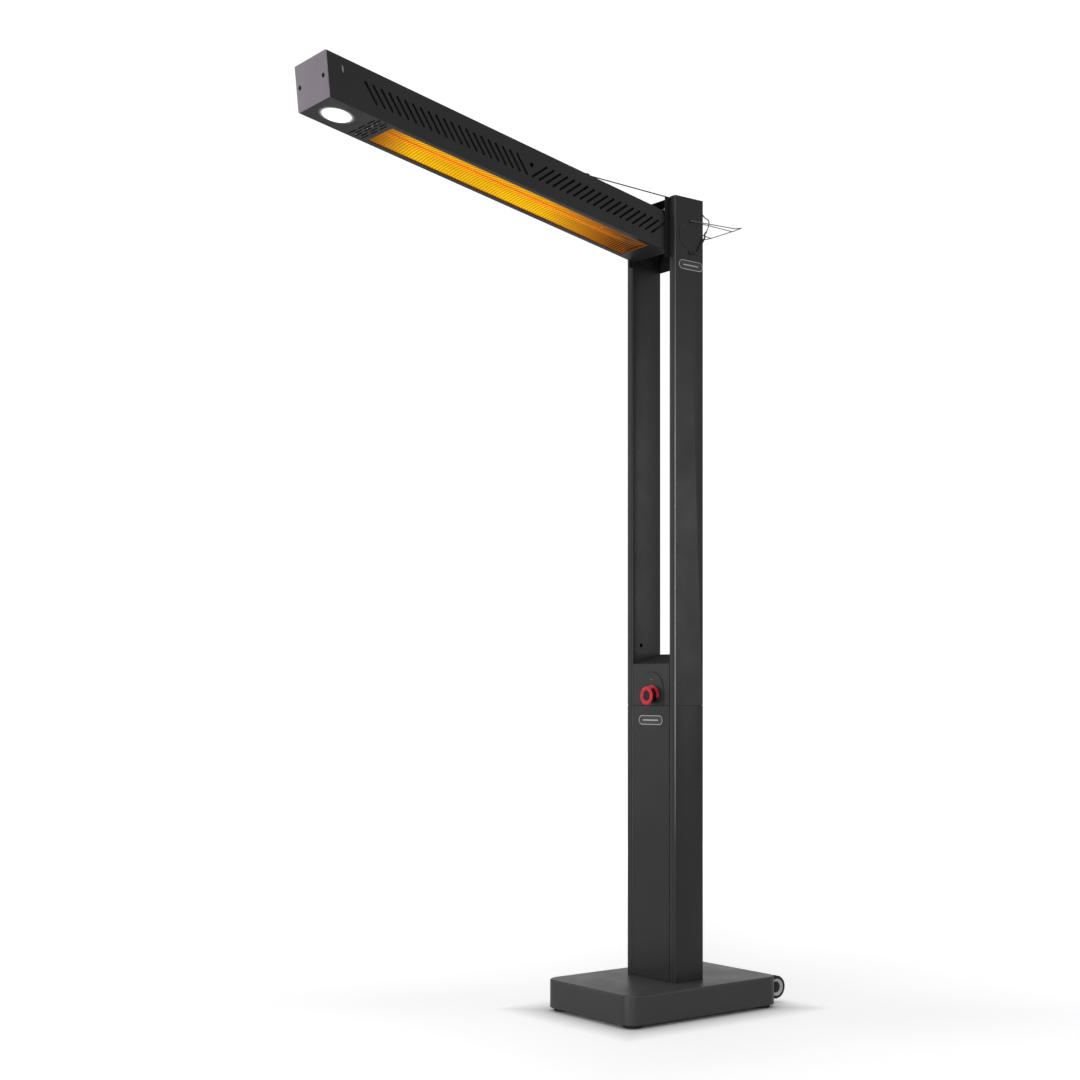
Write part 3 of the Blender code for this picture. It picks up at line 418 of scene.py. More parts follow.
def powder_coat(name, colour, roughness, top_dust_and_shade=0.12, corner=None):
    """Baked-on paint: a fine orange-peel surface, faint mottling, and a dusty film on top
    faces that also paints the lighter look of lit tops.

    A negative amount paints shade on the top instead, dark and dull. A corner is
    (x, y, reach) of the upright edges that get a painted highlight along the bend.
    """
    s = Shader(name, colour, roughness)
    mottle = s.fit(s.noise(5.0, 4), 0.0, 1.0, 0.35, 0.65)
    colour_out = s.mix(mottle, scaled(colour, 0.90), scaled(colour, 1.10))
    speckle = s.fit(s.noise(1400.0, 2), 0.0, 1.0, 0.40, 0.62)
    colour_out = s.mix(s.maths("MULTIPLY", speckle, 0.35), colour_out, scaled(colour, 1.5))
    # Top faces: above zero a dusty film that also paints top light; below zero painted
    # shade.
    start, end, least = (0.5, 1.0, 0.2) if top_dust_and_shade >= 0 else (0.2, 0.6, 0.9)
    top = s.facing_up(start, end)
    top_dust_and_shade_share = s.maths("MULTIPLY", top, s.fit(s.noise(16.0, 5), least, 1.0))
    top_dust_and_shade_share = s.maths("MULTIPLY", top_dust_and_shade_share, abs(top_dust_and_shade))
    colour_out = s.mix(top_dust_and_shade_share, colour_out, DUST_AND_TOP_LIGHT if top_dust_and_shade >= 0 else SHADE)
    if corner is not None:
        # A painted highlight: a lighter line along the posts' upright corners.
        colour_out = s.mix(painted_edge_highlight(s, *corner), colour_out, PAINTED_HIGHLIGHT)
    rough = s.fit(s.noise(9.0, 6, rough=0.65), roughness - 0.05, roughness + 0.07)
    if top_dust_and_shade < 0:
        rough = s.maths("ADD", rough, s.maths("MULTIPLY", top, 0.55))
    rough = s.maths("ADD", rough, s.fit(s.noise(1400.0, 2), -0.03, 0.03))
    peel = s.bump(s.noise(620.0, 2), 0.00012, 0.55)
    grain = s.bump(s.noise(1900.0, 2), 0.00005, 0.45, peel)
    return s.finish(colour_out, rough, grain)


def moulded(name, colour, roughness, grain=2400.0, depth=0.00004):
    """Plastic with a fine spark-eroded texture and slightly uneven gloss."""
    s = Shader(name, colour, roughness)
    tone = s.fit(s.noise(30.0, 3), 0.0, 1.0)
    colour_out = s.mix(tone, scaled(colour, 0.93), scaled(colour, 1.06))
    rough = s.fit(s.noise(60.0, 5), roughness - 0.05, roughness + 0.06)
    return s.finish(colour_out, rough, s.bump(s.noise(grain, 2), depth, 0.6))


def rubbery(name, colour):
    """Matt rubber, greyed in patches by wear."""
    s = Shader(name, colour, 0.8)
    worn = s.fit(s.noise(70.0, 6, rough=0.7), 0.0, 0.55, 0.5, 0.75)
    colour_out = s.mix(worn, colour, (0.075, 0.072, 0.068))
    rough = s.fit(s.noise(160.0, 3), 0.68, 0.90)
    return s.finish(colour_out, rough, s.bump(s.noise(900.0, 4), 0.00015, 0.5))


def brushed(name, colour, roughness, stretch=(4, 900, 900), metallic=1.0):
    """Metal with a fine grain, drawn out along the axis with the smallest scale."""
    s = Shader(name, colour, roughness, metallic)
    lines = s.noise(1.0, 3, s.stretched(stretch), 0.6)
    colour_out = s.mix(s.fit(lines, 0, 1), scaled(colour, 0.82), scaled(colour, 1.08))
    stained = s.fit(s.noise(40.0, 4), 0.0, 0.06)
    rough = s.maths("ADD", s.fit(lines, roughness - 0.07, roughness + 0.10), stained)
    return s.finish(colour_out, rough, s.bump(lines, 0.00004, 0.5))


def lamp_light(s):
    """How strongly the lamps shine along the window, and how near its sides a point is."""
    place = s.split()
    tip, root = WINDOW_Y
    tip_end = s.fit(place["Y"], 0.0, 1.0, tip - 0.015, tip + 0.125)
    root_end = s.fit(place["Y"], 1.0, 0.0, root - 0.270, root - 0.030)
    side = s.fit(s.maths("ABSOLUTE", place["X"]), 0.0, 1.0, 0.018, 0.052)
    return s.maths("MULTIPLY", tip_end, root_end), side


def gold_reflector(name):
    """Gold-tinted sheet whose lower side glows: a painted reflection of the lamps' light,
    less at its ends.
    """
    s = Shader(name, (0.10, 0.032, 0.001), 0.38, 1.0)
    lit, side = lamp_light(s)
    waves = s.fit(s.noise(1.0, 2, s.stretched((70, 5, 70))), 0.85, 1.10)
    facing = s.split(s.nodes.new("ShaderNodeTexCoord").outputs["Normal"])
    inside = s.fit(facing["Z"], 1.0, 0.0, -0.06, 0.0)
    full = s.mix(side, (1.0, 0.47, 0.006), (1.0, 0.60, 0.004))
    # Painted reflection of the lamps: emission on the sheet's lower side.
    s.link(s.mix(lit, (1.0, 0.26, 0.020), full), s.bsdf.inputs["Emission Color"])
    ends = s.fit(side, 0.015, 0.10, 0.2, 1.0)
    glow = s.maths("ADD", ends, s.maths("MULTIPLY", lit, s.maths("SUBTRACT", 0.96, ends)))
    glow = s.maths("MULTIPLY", glow, waves)
    s.link(s.maths("MULTIPLY", glow, inside), s.bsdf.inputs["Emission Strength"])
    rough = s.fit(s.noise(120.0, 3), 0.26, 0.40)
    return s.finish(None, rough, s.bump(s.noise(260.0, 1), 0.0004, 0.35))


def glowing(name, colour, strength, scale):
    """The hot coil: a little uneven, and cooler at its ends."""
    s = Shader(name, scaled(colour, 0.3), 0.35)
    s.link((*colour, 1), s.bsdf.inputs["Emission Color"])
    uneven = s.fit(s.noise(scale, 2), strength * 0.85, strength * 1.12)
    lit, _ = lamp_light(s)
    heat = s.maths("MULTIPLY", uneven, s.fit(lit, 0.15, 1.0, 0.0, 1.0))
    s.link(heat, s.bsdf.inputs["Emission Strength"])
    return s.finish(None, s.fit(s.noise(scale * 3, 2), 0.25, 0.45))


def quartz(name):
    """Clear tube, tinted by the light inside it."""
    s = Shader(name, (1.0, 0.62, 0.10), 0.16)
    s.bsdf.inputs["IOR"].default_value = 1.12
    s.bsdf.inputs["Emission Color"].default_value = (1.0, 0.56, 0.004, 1)
    lit, _ = lamp_light(s)
    s.link(s.fit(lit, 0.0, 0.16, 0.0, 1.0), s.bsdf.inputs["Emission Strength"])
    rough = s.fit(s.noise(220.0, 3), 0.12, 0.24)
    return s.finish(None, rough, None, transmission_weight=0.85)


def glazed_ceramic(name):
    """Lamp holders scorched brown to black by the heat."""
    s = Shader(name, (0.16, 0.12, 0.09), 0.55)
    scorched = s.fit(s.noise(90.0, 5), 0.35, 1.0, 0.35, 0.65)
    colour_out = s.mix(scorched, (0.10, 0.07, 0.05), (0.030, 0.018, 0.012))
    rough = s.fit(s.noise(200.0, 3), 0.45, 0.7)
    return s.finish(colour_out, rough, s.bump(s.noise(700.0, 3), 0.0001, 0.5))


def studio_floor(name):
    """A pale floor, lightened for the camera only, and less so close to the base, which
    paints a soft shadow round it.
    """
    s = Shader(name, (0.75, 0.75, 0.75), 0.7)
    tone = s.fit(s.noise(0.8, 2), 0.0, 1.0)
    s.link((1, 1, 1, 1), s.bsdf.inputs["Emission Color"])
    place = s.split()
    low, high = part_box("base_casing")
    across = s.maths("SUBTRACT", s.maths("ABSOLUTE", place["X"]), high.x)
    middle = s.maths("SUBTRACT", place["Y"], (low.y + high.y) / 2)
    along = s.maths("SUBTRACT", s.maths("ABSOLUTE", middle), (high.y - low.y) / 2)
    away = s.maths("MAXIMUM", across, along)
    # Painted shadow: the lift drops near the base's outline.
    near = s.fit(away, 0.0, 0.45, -0.02, 0.10)
    lift = s.maths("ADD", near, s.fit(away, 0.0, 0.42, 0.3, 2.8))
    seen = s.nodes.new("ShaderNodeLightPath").outputs["Is Camera Ray"]
    s.link(s.maths("MULTIPLY", seen, lift), s.bsdf.inputs["Emission Strength"])
    return s.finish(s.mix(tone, (0.73, 0.73, 0.73), (0.77, 0.77, 0.77)))


def hot_wire(name):
    """Thin steel wire over the lamps: browned by the heat, with the lamps' light on it
    painted as a glow.
    """
    s = Shader(name, (0.10, 0.05, 0.02), 0.40, 0.8)
    lit, _ = lamp_light(s)
    hue = s.mix(lit, (1.0, 0.34, 0.030), (1.0, 0.30, 0.010))
    s.link(hue, s.bsdf.inputs["Emission Color"])
    uneven = s.fit(s.noise(40.0, 3), 0.85, 1.2)
    # Painted light: the wires glow where the lamps shine on them.
    heat = s.maths("MULTIPLY", uneven, s.fit(lit, 0.20, 0.36, 0, 1))
    s.link(heat, s.bsdf.inputs["Emission Strength"])
    tone = s.fit(s.noise(150.0, 3), 0.0, 1.0)
    colour = s.mix(tone, (0.07, 0.04, 0.03), (0.14, 0.07, 0.03))
    return s.finish(colour, s.fit(s.noise(300.0, 2), 0.32, 0.50))


def lit_lens(name, centre, radius):
    """Frosted lens over a bright lamp, a little dimmer towards its rim."""
    s = Shader(name, (0.80, 0.82, 0.80), 0.30)
    share = s.fit(s.away_from(centre), 2.4, 0.75, radius * 0.80, radius)
    uneven = s.fit(s.noise(30.0, 2), 0.92, 1.08)
    s.link((0.97, 1.0, 0.98, 1), s.bsdf.inputs["Emission Color"])
    s.link(s.maths("MULTIPLY", share, uneven), s.bsdf.inputs["Emission Strength"])
    return s.finish(None, s.fit(s.noise(200.0, 2), 0.25, 0.40))


def lit_bezel(name, centre, inside, outside):
    """Smoked trim round the lens, with a painted glow from the lens spreading a few
    millimetres outwards.
    """
    s = Shader(name, (0.020, 0.020, 0.021), 0.38)
    near = s.fit(s.away_from(centre), 1.0, 0.0, inside, outside)
    s.link((0.94, 1.0, 0.95, 1), s.bsdf.inputs["Emission Color"])
    # Painted glow: emission on the trim, strongest next to the lens.
    spread = s.maths("MULTIPLY", s.maths("POWER", near, 2.6), 0.85)
    s.link(s.maths("ADD", spread, 0.05), s.bsdf.inputs["Emission Strength"])
    return s.finish(None, s.fit(s.noise(200.0, 2), 0.32, 0.46))


def make_finishes():
    """One finish for each of the record's slots, and some that serve a few pieces."""
    return {
        "black_paint": powder_coat("black_powder_coat", (0.016, 0.016, 0.017), 0.36),
        # The posts' front corners get a painted highlight along the bend.
        "post_paint": powder_coat("post_powder_coat", (0.016, 0.016, 0.017), 0.36,
                                  corner=(HALF_WIDTH, COLUMN_Y - HALF_DEPTH, 0.0026)),
        "base_paint": powder_coat("base_powder_coat", (0.036, 0.036, 0.037), 0.34, 0.07),
        # The control box's top gets painted shade, dark and dull.
        "painted_top_shade": powder_coat("painted_top_shade_coat", (0.018, 0.018, 0.019), 0.36, -1.0),
        "cap_paint": powder_coat("cap_powder_coat", (0.27, 0.230, 0.275), 0.42, 0.04),
        "wire_rope": brushed("wire_rope", (0.15, 0.15, 0.155), 0.40, (700, 700, 700), 0.6),
        "steel": brushed("bright_steel", (0.42, 0.42, 0.43), 0.34, (300, 300, 20)),
        "wire": brushed("black_wire", (0.050, 0.050, 0.054), 0.36, (60, 60, 60), 0.6),
        "hook_wire": brushed("zinc_wire", (0.15, 0.15, 0.155), 0.38, (60, 60, 60), 0.6),
        "aluminium": brushed("brushed_aluminium", (0.66, 0.67, 0.69), 0.30),
        "grey_plastic": moulded("grey_plastic", (0.58, 0.58, 0.59), 0.24),
        "black_plastic": moulded("black_plastic", (0.006, 0.006, 0.006), 0.55),
        "rubber": rubbery("black_rubber", (0.016, 0.016, 0.016)),
        "red_plastic": moulded("red_plastic", (0.66, 0.010, 0.032), 0.28, 3000.0, 0.00002),
        "gold_reflector": gold_reflector("gold_reflector"),
        "hot_tube": glowing("hot_filament", (1.0, 0.50, 0.006), 0.95, 60.0),
        "ceramic": glazed_ceramic("scorched_ceramic"),
        "lens": lit_lens("lit_lens", (0, LIGHT_Y, HEAD_UNDER), LIGHT_RADIUS - 0.0004),
        "shaded_paint": powder_coat("shaded_powder_coat", (0.006, 0.006, 0.006), 0.55, 0.0),
        # Near-black painted shade, for the liner, the pivot bracket and the hole collars, so
        # slots and holes read dark; the cap screw heads use it too.
        "painted_shade_black": powder_coat("painted_shade_black_coat", (0.003, 0.003, 0.003), 0.80, 0.0),
        "hot_wire": hot_wire("heat_tinted_wire"),
    }


# ---------------------------------------------------------------- head


def make_head(finish):
    """The head's own CAD shapes with softened edges, then the pieces that are redrawn."""
    for node, width in (("head_housing", 0.0006), ("head_fascia", 0.0004),
                        ("front_cap", 0.0008), ("cable_anchor", 0.0010)):
        softened(node, finish[SLOT_OF[node]], width, 2)
    # The bracket is in the painted-shade black, so the vents over it look black.
    softened("pivot_bracket", finish["painted_shade_black"], 0.0005, 2)
    make_cap_screws(finish)
    make_grille(finish)
    make_reflector(finish)
    make_shade_liner(finish)
    make_tip_details(finish)
    make_lamps(finish)
    make_light(finish)


def make_cap_screws(finish):
    """Button-head screws with a round socket, square to the slanting cap."""
    for side in ("left", "right"):
        low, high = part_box(f"cap_screw_{side}")
        centre = (low + high) / 2
        lean = END_SLANT - TILT
        outwards = Vector((0, -math.cos(lean), -math.sin(lean)))
        turn = outwards.to_track_quat("Z", "Y").to_matrix().to_4x4()
        matrix = Matrix.Translation(centre - outwards * 0.0008) @ turn
        profile = [(0, 0), (0.0052, 0), (0.0052, 0.0004), (0.0045, 0.0012)]
        profile += [(0.0032, 0.0017), (0.0021, 0.0018), (0.0020, 0.0006), (0, 0.0006)]
        bm = bmesh.new()
        add_turned(bm, profile, matrix, 36)
        piece(f"cap_screw_{side}_head", bm, finish["painted_shade_black"], "head",
              [f"cap_screw_{side}"])


def make_grille(finish):
    """Cross wires arched over the window, carried on an outer frame and a middle wire."""
    bm = bmesh.new()
    low_y, high_y = WINDOW_Y[0] - 0.002, WINDOW_Y[1] + 0.002
    overlap = 0.0018
    half = WINDOW_HALF + overlap
    height = HEAD_UNDER + overlap + GRILLE_WIRE
    count = int((high_y - low_y) / GRILLE_PITCH)
    steps = 6
    for i in range(count):
        y = low_y + (i + 0.5) * (high_y - low_y) / count
        wire = []
        for step in range(-steps, steps + 1):
            share = step / steps
            wire.append((half * share, y, height + GRILLE_RISE * (1 - share**2)))
        add_tube(bm, wire, GRILLE_WIRE, 6)
    for x, rise in ((-half, 0.0), (0.004, GRILLE_RISE), (half, 0.0)):
        z = height + rise + 2 * GRILLE_WIRE
        add_tube(bm, [(x, low_y, z), (x, high_y, z)], GRILLE_WIRE, 8)
    for y in (low_y, high_y):
        add_tube(bm, [(-half, y, height), (half, y, height)], GRILLE_WIRE * 1.4, 8)
    piece("guard_grille_wires", bm, finish["hot_wire"], "head", ["guard_grille"], HEAD)


def make_reflector(finish):
    """A double trough, one bay over each lamp, closed by sloping end plates."""
    low_y, high_y = WINDOW_Y[0] - 0.004, WINDOW_Y[1] + 0.004
    sheet, half, steps = 0.0006, 0.0562, 28
    crown, edge_drop, ridge_drop = -0.0045, 0.0385, 0.010
    profile = []
    for i in range(steps + 1):
        x = -half + 2 * half * i / steps
        u = (abs(x) - LAMP_X) / (half - LAMP_X)
        drop = edge_drop * u**3 if u > 0 else ridge_drop * u**2
        profile.append((x, crown - drop))
    outline = profile + [(x, z + sheet) for x, z in reversed(profile)]
    bm = bmesh.new()
    add_prism(bm, outline, "y", low_y, high_y)
    end_half, foot, top, thick = 0.0545, -0.0445, -0.0080, 0.0008
    for end, lean in ((low_y, 0.016), (high_y, -0.016)):
        corners = [(end, foot), (end + lean, top)]
        corners += [(end + lean, top + thick), (end, foot + thick)]
        add_prism(bm, corners, "x", -end_half, end_half)
    piece("reflector_trough", bm, finish["gold_reflector"], "head",
          ["reflector"], HEAD)


def make_lamps(finish):
    """Quartz tubes with a coiled filament each, in ceramic end blocks."""
    glass = quartz("quartz_tube")
    low_y, high_y = LAMP_END_Y
    bore, pitch, coil_radius, per_turn = 0.0048, 0.0048, 0.0026, 8
    for side, x in (("left", -LAMP_X), ("right", LAMP_X)):
        bm = bmesh.new()
        profile = [(bore, low_y), (LAMP_RADIUS, low_y), (LAMP_RADIUS, high_y)]
        profile += [(bore, high_y)]
        add_turned(bm, profile, along_axis("y", (x, 0, LAMP_Z)), 20)
        piece(f"lamp_tube_{side}_quartz", bm, glass, "head",
              [f"lamp_tube_{side}"], HEAD)
        count = int((high_y - low_y) / pitch) * per_turn
        coil = []
        for i in range(count + 1):
            angle = 2 * math.pi * i / per_turn
            y = low_y + (high_y - low_y) * i / count
            across, up = coil_radius * math.cos(angle), coil_radius * math.sin(angle)
            coil.append((x + across, y, LAMP_Z + up))
        bm = bmesh.new()
        add_tube(bm, coil, 0.0010, 5)
        piece(f"lamp_filament_{side}", bm, finish["hot_tube"], "head", (), HEAD)
    for end in ("front", "rear"):
        softened(f"lamp_holder_{end}", finish["ceramic"], 0.0015, 3)


def make_shade_liner(finish):
    """A dark inner channel and a front baffle: painted shade that keeps the slotted sides
    and the slot patch black.
    """
    outer, sheet, top, under = 0.0600, 0.0008, 0.0400, -0.0405
    tip, root, foot, baffle_ends = -1.020, -0.090, -0.0466, (-0.8870, -0.8858)
    outline = [(-outer, under), (-outer, top), (outer, top), (outer, under)]
    outline += [(outer - sheet, under), (outer - sheet, top - sheet)]
    outline += [(-outer + sheet, top - sheet), (-outer + sheet, under)]
    bm = bmesh.new()
    add_prism(bm, outline, "y", tip, root)
    baffle = [(-outer + sheet, foot), (outer - sheet, foot)]
    baffle += [(outer - sheet, top - sheet), (-outer + sheet, top - sheet)]
    add_prism(bm, baffle, "y", *baffle_ends)
    # Painted shade: a near-black sheet where the inside should read dark.
    piece("shade_liner", bm, finish["painted_shade_black"], "head", (), HEAD)


def make_tip_details(finish):
    """Pale tabs behind the two slots at the tip, and the rivets of the slot patch."""
    inside, outside = 0.0650, 0.0664
    slot, patch_y = (-1.0342, 0.0253), -0.914
    bm = bmesh.new()
    tab = rounded_rectangle(0.010, 0.012, 0.003, 4, slot)
    add_prism(bm, tab, "x", inside, outside)
    add_prism(bm, tab, "x", -outside, -inside)
    piece("tip_tabs", bm, finish["grey_plastic"], "head", (), HEAD)
    bm = bmesh.new()
    dome = [(0, -0.0010), (0.0010, -0.0007), (0.0018, 0.0002), (0, 0.0002)]
    for x in (0.044, 0.024, 0.0015, -0.0475):
        add_turned(bm, dome, Matrix.Translation((x, patch_y, HEAD_UNDER)), 16)
    piece("patch_rivets", bm, finish["aluminium"], "head", (), HEAD)


def make_light(finish):
    """A shallow domed lens with fine rings, and the thin bezel round it."""
    centre = (0, LIGHT_Y, HEAD_UNDER)
    place = Matrix.Translation(centre)
    rim = LIGHT_RADIUS - 0.0004
    dome, seat, steps = 0.0058, 0.0035, 13
    lens = [(0, -dome)]
    for i in range(1, steps + 1):
        turn = math.radians(87 * i / steps)
        rib = 0.00010 if i % 2 else 0.0
        lens.append((rim * math.sin(turn), rib - dome * math.cos(turn)))
    lens += [(rim, 0.0004), (rim, seat), (0, seat)]
    bm = bmesh.new()
    add_turned(bm, lens, place, 64)
    piece("light_lens_glow", bm, finish["lens"], "head", ["light_lens"], HEAD)
    inner, outer = rim + 0.0002, rim + BEZEL_WIDTH
    bm = bmesh.new()
    bezel = [(inner, -0.0004), (outer - 0.0006, -0.0003), (outer, -0.0001)]
    bezel += [(outer, 0.0), (inner, 0.0)]
    add_turned(bm, bezel, place, 64)
    glow = lit_bezel("lit_bezel", centre, rim, outer)
    piece("light_bezel", bm, glow, "head", (), HEAD)
    softened("light_module", finish["aluminium"], 0.0010)


# ---------------------------------------------------------------- stand


def make_stand(finish):
    """The stand's own CAD shapes with softened edges, then the pieces that are redrawn."""
    widths = {
        "lower_front_panel": 0.0007,
        "lower_rear_panel": 0.0007,
        "control_box": 0.0008,
        "switch_plate": 0.0005,
        "pivot_hood": 0.0004,
        "cable_gland": 0.0008,
        "base_plate": 0.0005,
        "column_foot_plate": 0.0010,
        "control_switch": 0.0020,
        "base_ballast": 0.0020,
    }
    # The control box takes the finish with painted shade on its top.
    look = {"pivot_hood": "shaded_paint", "control_box": "painted_top_shade"}
    for side in ("left", "right"):
        widths[f"lower_post_{side}"] = 0.0004
        widths[f"upper_post_{side}"] = 0.0007
        widths[f"wheel_bracket_{side}"] = 0.0008
        widths[f"pivot_cover_{side}"] = 0.0003
        look[f"lower_post_{side}"] = "post_paint"
        look[f"upper_post_{side}"] = "post_paint"
    for node, width in widths.items():
        softened(node, finish[look.get(node, SLOT_OF[node])], width, 2)
    for node in ("lock_pin", "stop_rod"):
        skin = frame["nodes"][node].data.materials
        skin.clear()
        skin.append(finish["shaded_paint"])
    make_nuts(finish)
    make_base(finish)
    make_badges(finish)
    make_feet(finish)
    make_switch(finish)
    make_wheels(finish)


def make_nuts(finish):
    """A six-sided nut at each end of the stop rod, inside the hood."""
    low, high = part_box("stop_rod")
    centre = Vector((0, (low.y + high.y) / 2, (low.z + high.z) / 2))
    nut = [(0.0046, 0.0640), (0.0058, 0.0646), (0.0058, 0.0696), (0.0046, 0.0702)]
    bm = bmesh.new()
    for sign in (-1, 1):
        add_turned(bm, nut, along_axis("x", centre, sign), 6)
    piece("stop_rod_nuts", bm, finish["steel"], "stand")


def make_base(finish):
    """The sheet cover again, with finely rounded corners and top edge."""
    low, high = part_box("base_casing")
    middle = ((low.x + high.x) / 2, (low.y + high.y) / 2)
    half_a, half_b = (high.x - low.x) / 2, (high.y - low.y) / 2
    corner, edge, sheet, steps, edge_steps = 0.040, 0.005, 0.0025, 20, 8
    bm = bmesh.new()

    def ring(inset, z):
        sizes = [size - inset for size in (half_a, half_b, corner)]
        return add_outline(bm, rounded_rectangle(*sizes, steps, middle), "z", z)

    rings = [ring(sheet, high.z - sheet), ring(sheet, low.z), ring(0, low.z)]
    for i in range(edge_steps + 1):
        turn = math.radians(90 * i / edge_steps)
        rings.append(ring(edge * (1 - math.cos(turn)), high.z - edge * (1 - math.sin(turn))))
    add_walls(bm, rings)
    bm.faces.new(rings[0])
    bm.faces.new(rings[-1])
    piece("base_cover", bm, finish["base_paint"], "stand", ["base_casing"])


def make_badges(finish):
    """Plain pill plates: a bar on a dark field, inside a bright raised rim."""
    dark = powder_coat("badge_field", (0.045, 0.045, 0.048), 0.35, 0.0)
    for node, axis, outside in (("front_badge", "y", -1), ("side_badge", "x", 1)):
        low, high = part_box(node)
        centre = (low + high) / 2
        across = 0 if axis == "y" else 1
        half = ((high - low)[across] / 2, (high.z - low.z) / 2)
        middle = (centre[across], centre.z)
        depth = 1 if axis == "y" else 0
        back, front = (high, low) if outside < 0 else (low, high)
        back, front = back[depth], front[depth]
        pills = []
        for inset in (0.0, BADGE_RIM, BADGE_RIM + 0.0001):
            a, b = half[0] - inset, half[1] - inset
            pills.append(rounded_rectangle(a, b, b - 0.0002, 12, middle))
        outer, inner, field = pills
        bm = bmesh.new()
        add_frame(bm, outer, inner, axis, back, front)
        piece(f"{node}_rim", bm, finish["aluminium"], "stand", [node])
        top = back + (front - back) * 0.6
        bm = bmesh.new()
        add_prism(bm, field, axis, back, top)
        piece(f"{node}_field", bm, dark, "stand")
        bar_half = ((half[0] - BADGE_RIM) * 0.66, (half[1] - BADGE_RIM) * 0.13)
        bar = rounded_rectangle(*bar_half, bar_half[1] * 0.95, 4, middle)
        bm = bmesh.new()
        add_prism(bm, bar, axis, top, back + (front - back) * 0.9)
        piece(f"{node}_bar", bm, finish["aluminium"], "stand")


def groove_points(radius, along, depth, half_mouth, half_bed):
    """The points of a groove that is turned into a round side."""
    bed = radius - depth
    points = [(radius, along - half_mouth), (bed, along - half_bed)]
    return points + [(bed, along + half_bed), (radius, along + half_mouth)]


def make_feet(finish):
    """Rubber feet with two grooves round them."""
    depth, half_groove = 0.0008, 0.0006
    for end in ("front", "rear"):
        for side in ("left", "right"):
            node = f"foot_{end}_{side}"
            low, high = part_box(node)
            radius = (high.x - low.x) / 2
            centre = Vector(((low.x + high.x) / 2, (low.y + high.y) / 2, 0))
            profile = [(0, low.z), (radius - 0.002, low.z), (radius - 0.0006, 0.0006)]
            profile += [(radius, 0.0020)]
            for groove in (0.0036, 0.0064):
                profile += groove_points(radius, groove, depth, half_groove, 0.0003)
            profile += [(radius, high.z), (0, high.z)]
            bm = bmesh.new()
            add_turned(bm, profile, Matrix.Translation(centre), 48)
            piece(f"{node}_ribbed", bm, finish["rubber"], "stand", [node])


def make_switch(finish):
    """The dial arc, the switch plate's seal, the knob and the indicator."""
    softened("knob_bezel", finish["red_plastic"], 0.0005, 3)
    low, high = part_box("switch_plate")
    margin = 0.0011
    half = (high.x - low.x) / 2 + margin
    middle = (low.x + high.x) / 2
    seam = arc((middle, high.z + margin - half), half, 0, 180, 40)
    seam += [(middle - half, low.z), (middle + half, low.z)]
    bm = bmesh.new()
    add_prism(bm, seam, "y", high.y - 0.0004, high.y + 0.0002)
    piece("switch_plate_gasket", bm, finish["rubber"], "stand")
    make_knob(finish)
    make_indicator()


def make_knob(finish):
    """A red ring round a dished cap, on a ribbed shank."""
    place = along_axis("y", KNOB)
    low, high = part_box("knob_ring")
    front, rear, radius = low.y - KNOB.y, high.y - KNOB.y, (high.x - low.x) / 2
    cap_low, cap_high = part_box("knob_cap")
    cap_radius = (cap_high.x - cap_low.x) / 2
    rounding, overlap = 0.0022, 0.0022
    inner = cap_radius - overlap
    middle, half = (inner + radius) / 2, (radius - inner) / 2
    ring = [(inner, rear), (inner, front + rounding)]
    for i in range(13):
        angle = math.pi * (0.92 - 0.84 * i / 12)
        out, rise = half * math.cos(angle), rounding * math.sin(angle)
        ring.append((middle + out, front + rounding - rise))
    ring += [(radius, front + rounding), (radius, rear)]
    bm = bmesh.new()
    add_turned(bm, ring, place, 72)
    piece("knob_ring_red", bm, finish["red_plastic"], "knob", ["knob_ring"])

    cap_rear, middle_thick, edge_rise, steps = cap_high.y - KNOB.y, 0.0006, 0.0004, 8
    dish = [(0, cap_rear - middle_thick)]
    for i in range(1, steps + 1):
        share = i / steps
        dish.append((cap_radius * share, cap_rear - middle_thick - edge_rise * share**2))
    dish += [(cap_radius, cap_rear), (0, cap_rear)]
    bm = bmesh.new()
    add_turned(bm, dish, place, 72)
    dull = brushed("dull_aluminium", (0.20, 0.23, 0.21), 0.40, (500, 8, 500), 0.2)
    piece("knob_cap_dish", bm, dull, "knob", ["knob_cap"])

    body_low, body_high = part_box("knob_body")
    body_radius = (body_high.x - body_low.x) / 2
    body_back, body_front = -0.0010, rear + 0.0003
    stem_end, stem_radius = body_high.y - KNOB.y, 0.003
    ribs, rib_circle = 40, body_radius - 0.0008
    bm = bmesh.new()
    for i in range(ribs):
        angle = 2 * math.pi * i / ribs
        across, up = rib_circle * math.cos(angle), rib_circle * math.sin(angle)
        rib = arc((KNOB.x + across, KNOB.z + up), 0.00075, 0, 315, 7)
        add_prism(bm, rib, "y", KNOB.y + body_front + 0.0006, KNOB.y + body_back)
    core = body_radius - 0.0010
    profile = [(0, body_front), (core, body_front), (core, body_back)]
    profile += [(stem_radius, body_back), (stem_radius, stem_end), (0, stem_end)]
    add_turned(bm, profile, place, 64)
    piece("knob_body_ribbed", bm, finish["black_plastic"], "knob",
          ["knob_body"])


def make_indicator():
    """A small smoky dome over the indicator lamp, which is off."""
    low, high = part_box("indicator_lens")
    centre = (low + high) / 2
    centre.y = high.y
    radius, height = (high.x - low.x) / 2, high.y - low.y
    dome = [(0, -height)]
    for i in range(1, 7):
        angle = math.radians(15 * i)
        dome.append((radius * math.sin(angle), -height * math.cos(angle)))
    dome += [(0, 0)]
    bm = bmesh.new()
    add_turned(bm, dome, along_axis("y", centre), 32)
    smoky = moulded("smoky_lens", (0.14, 0.13, 0.15), 0.12)
    piece("indicator_dome", bm, smoky, "stand", ["indicator_lens"])


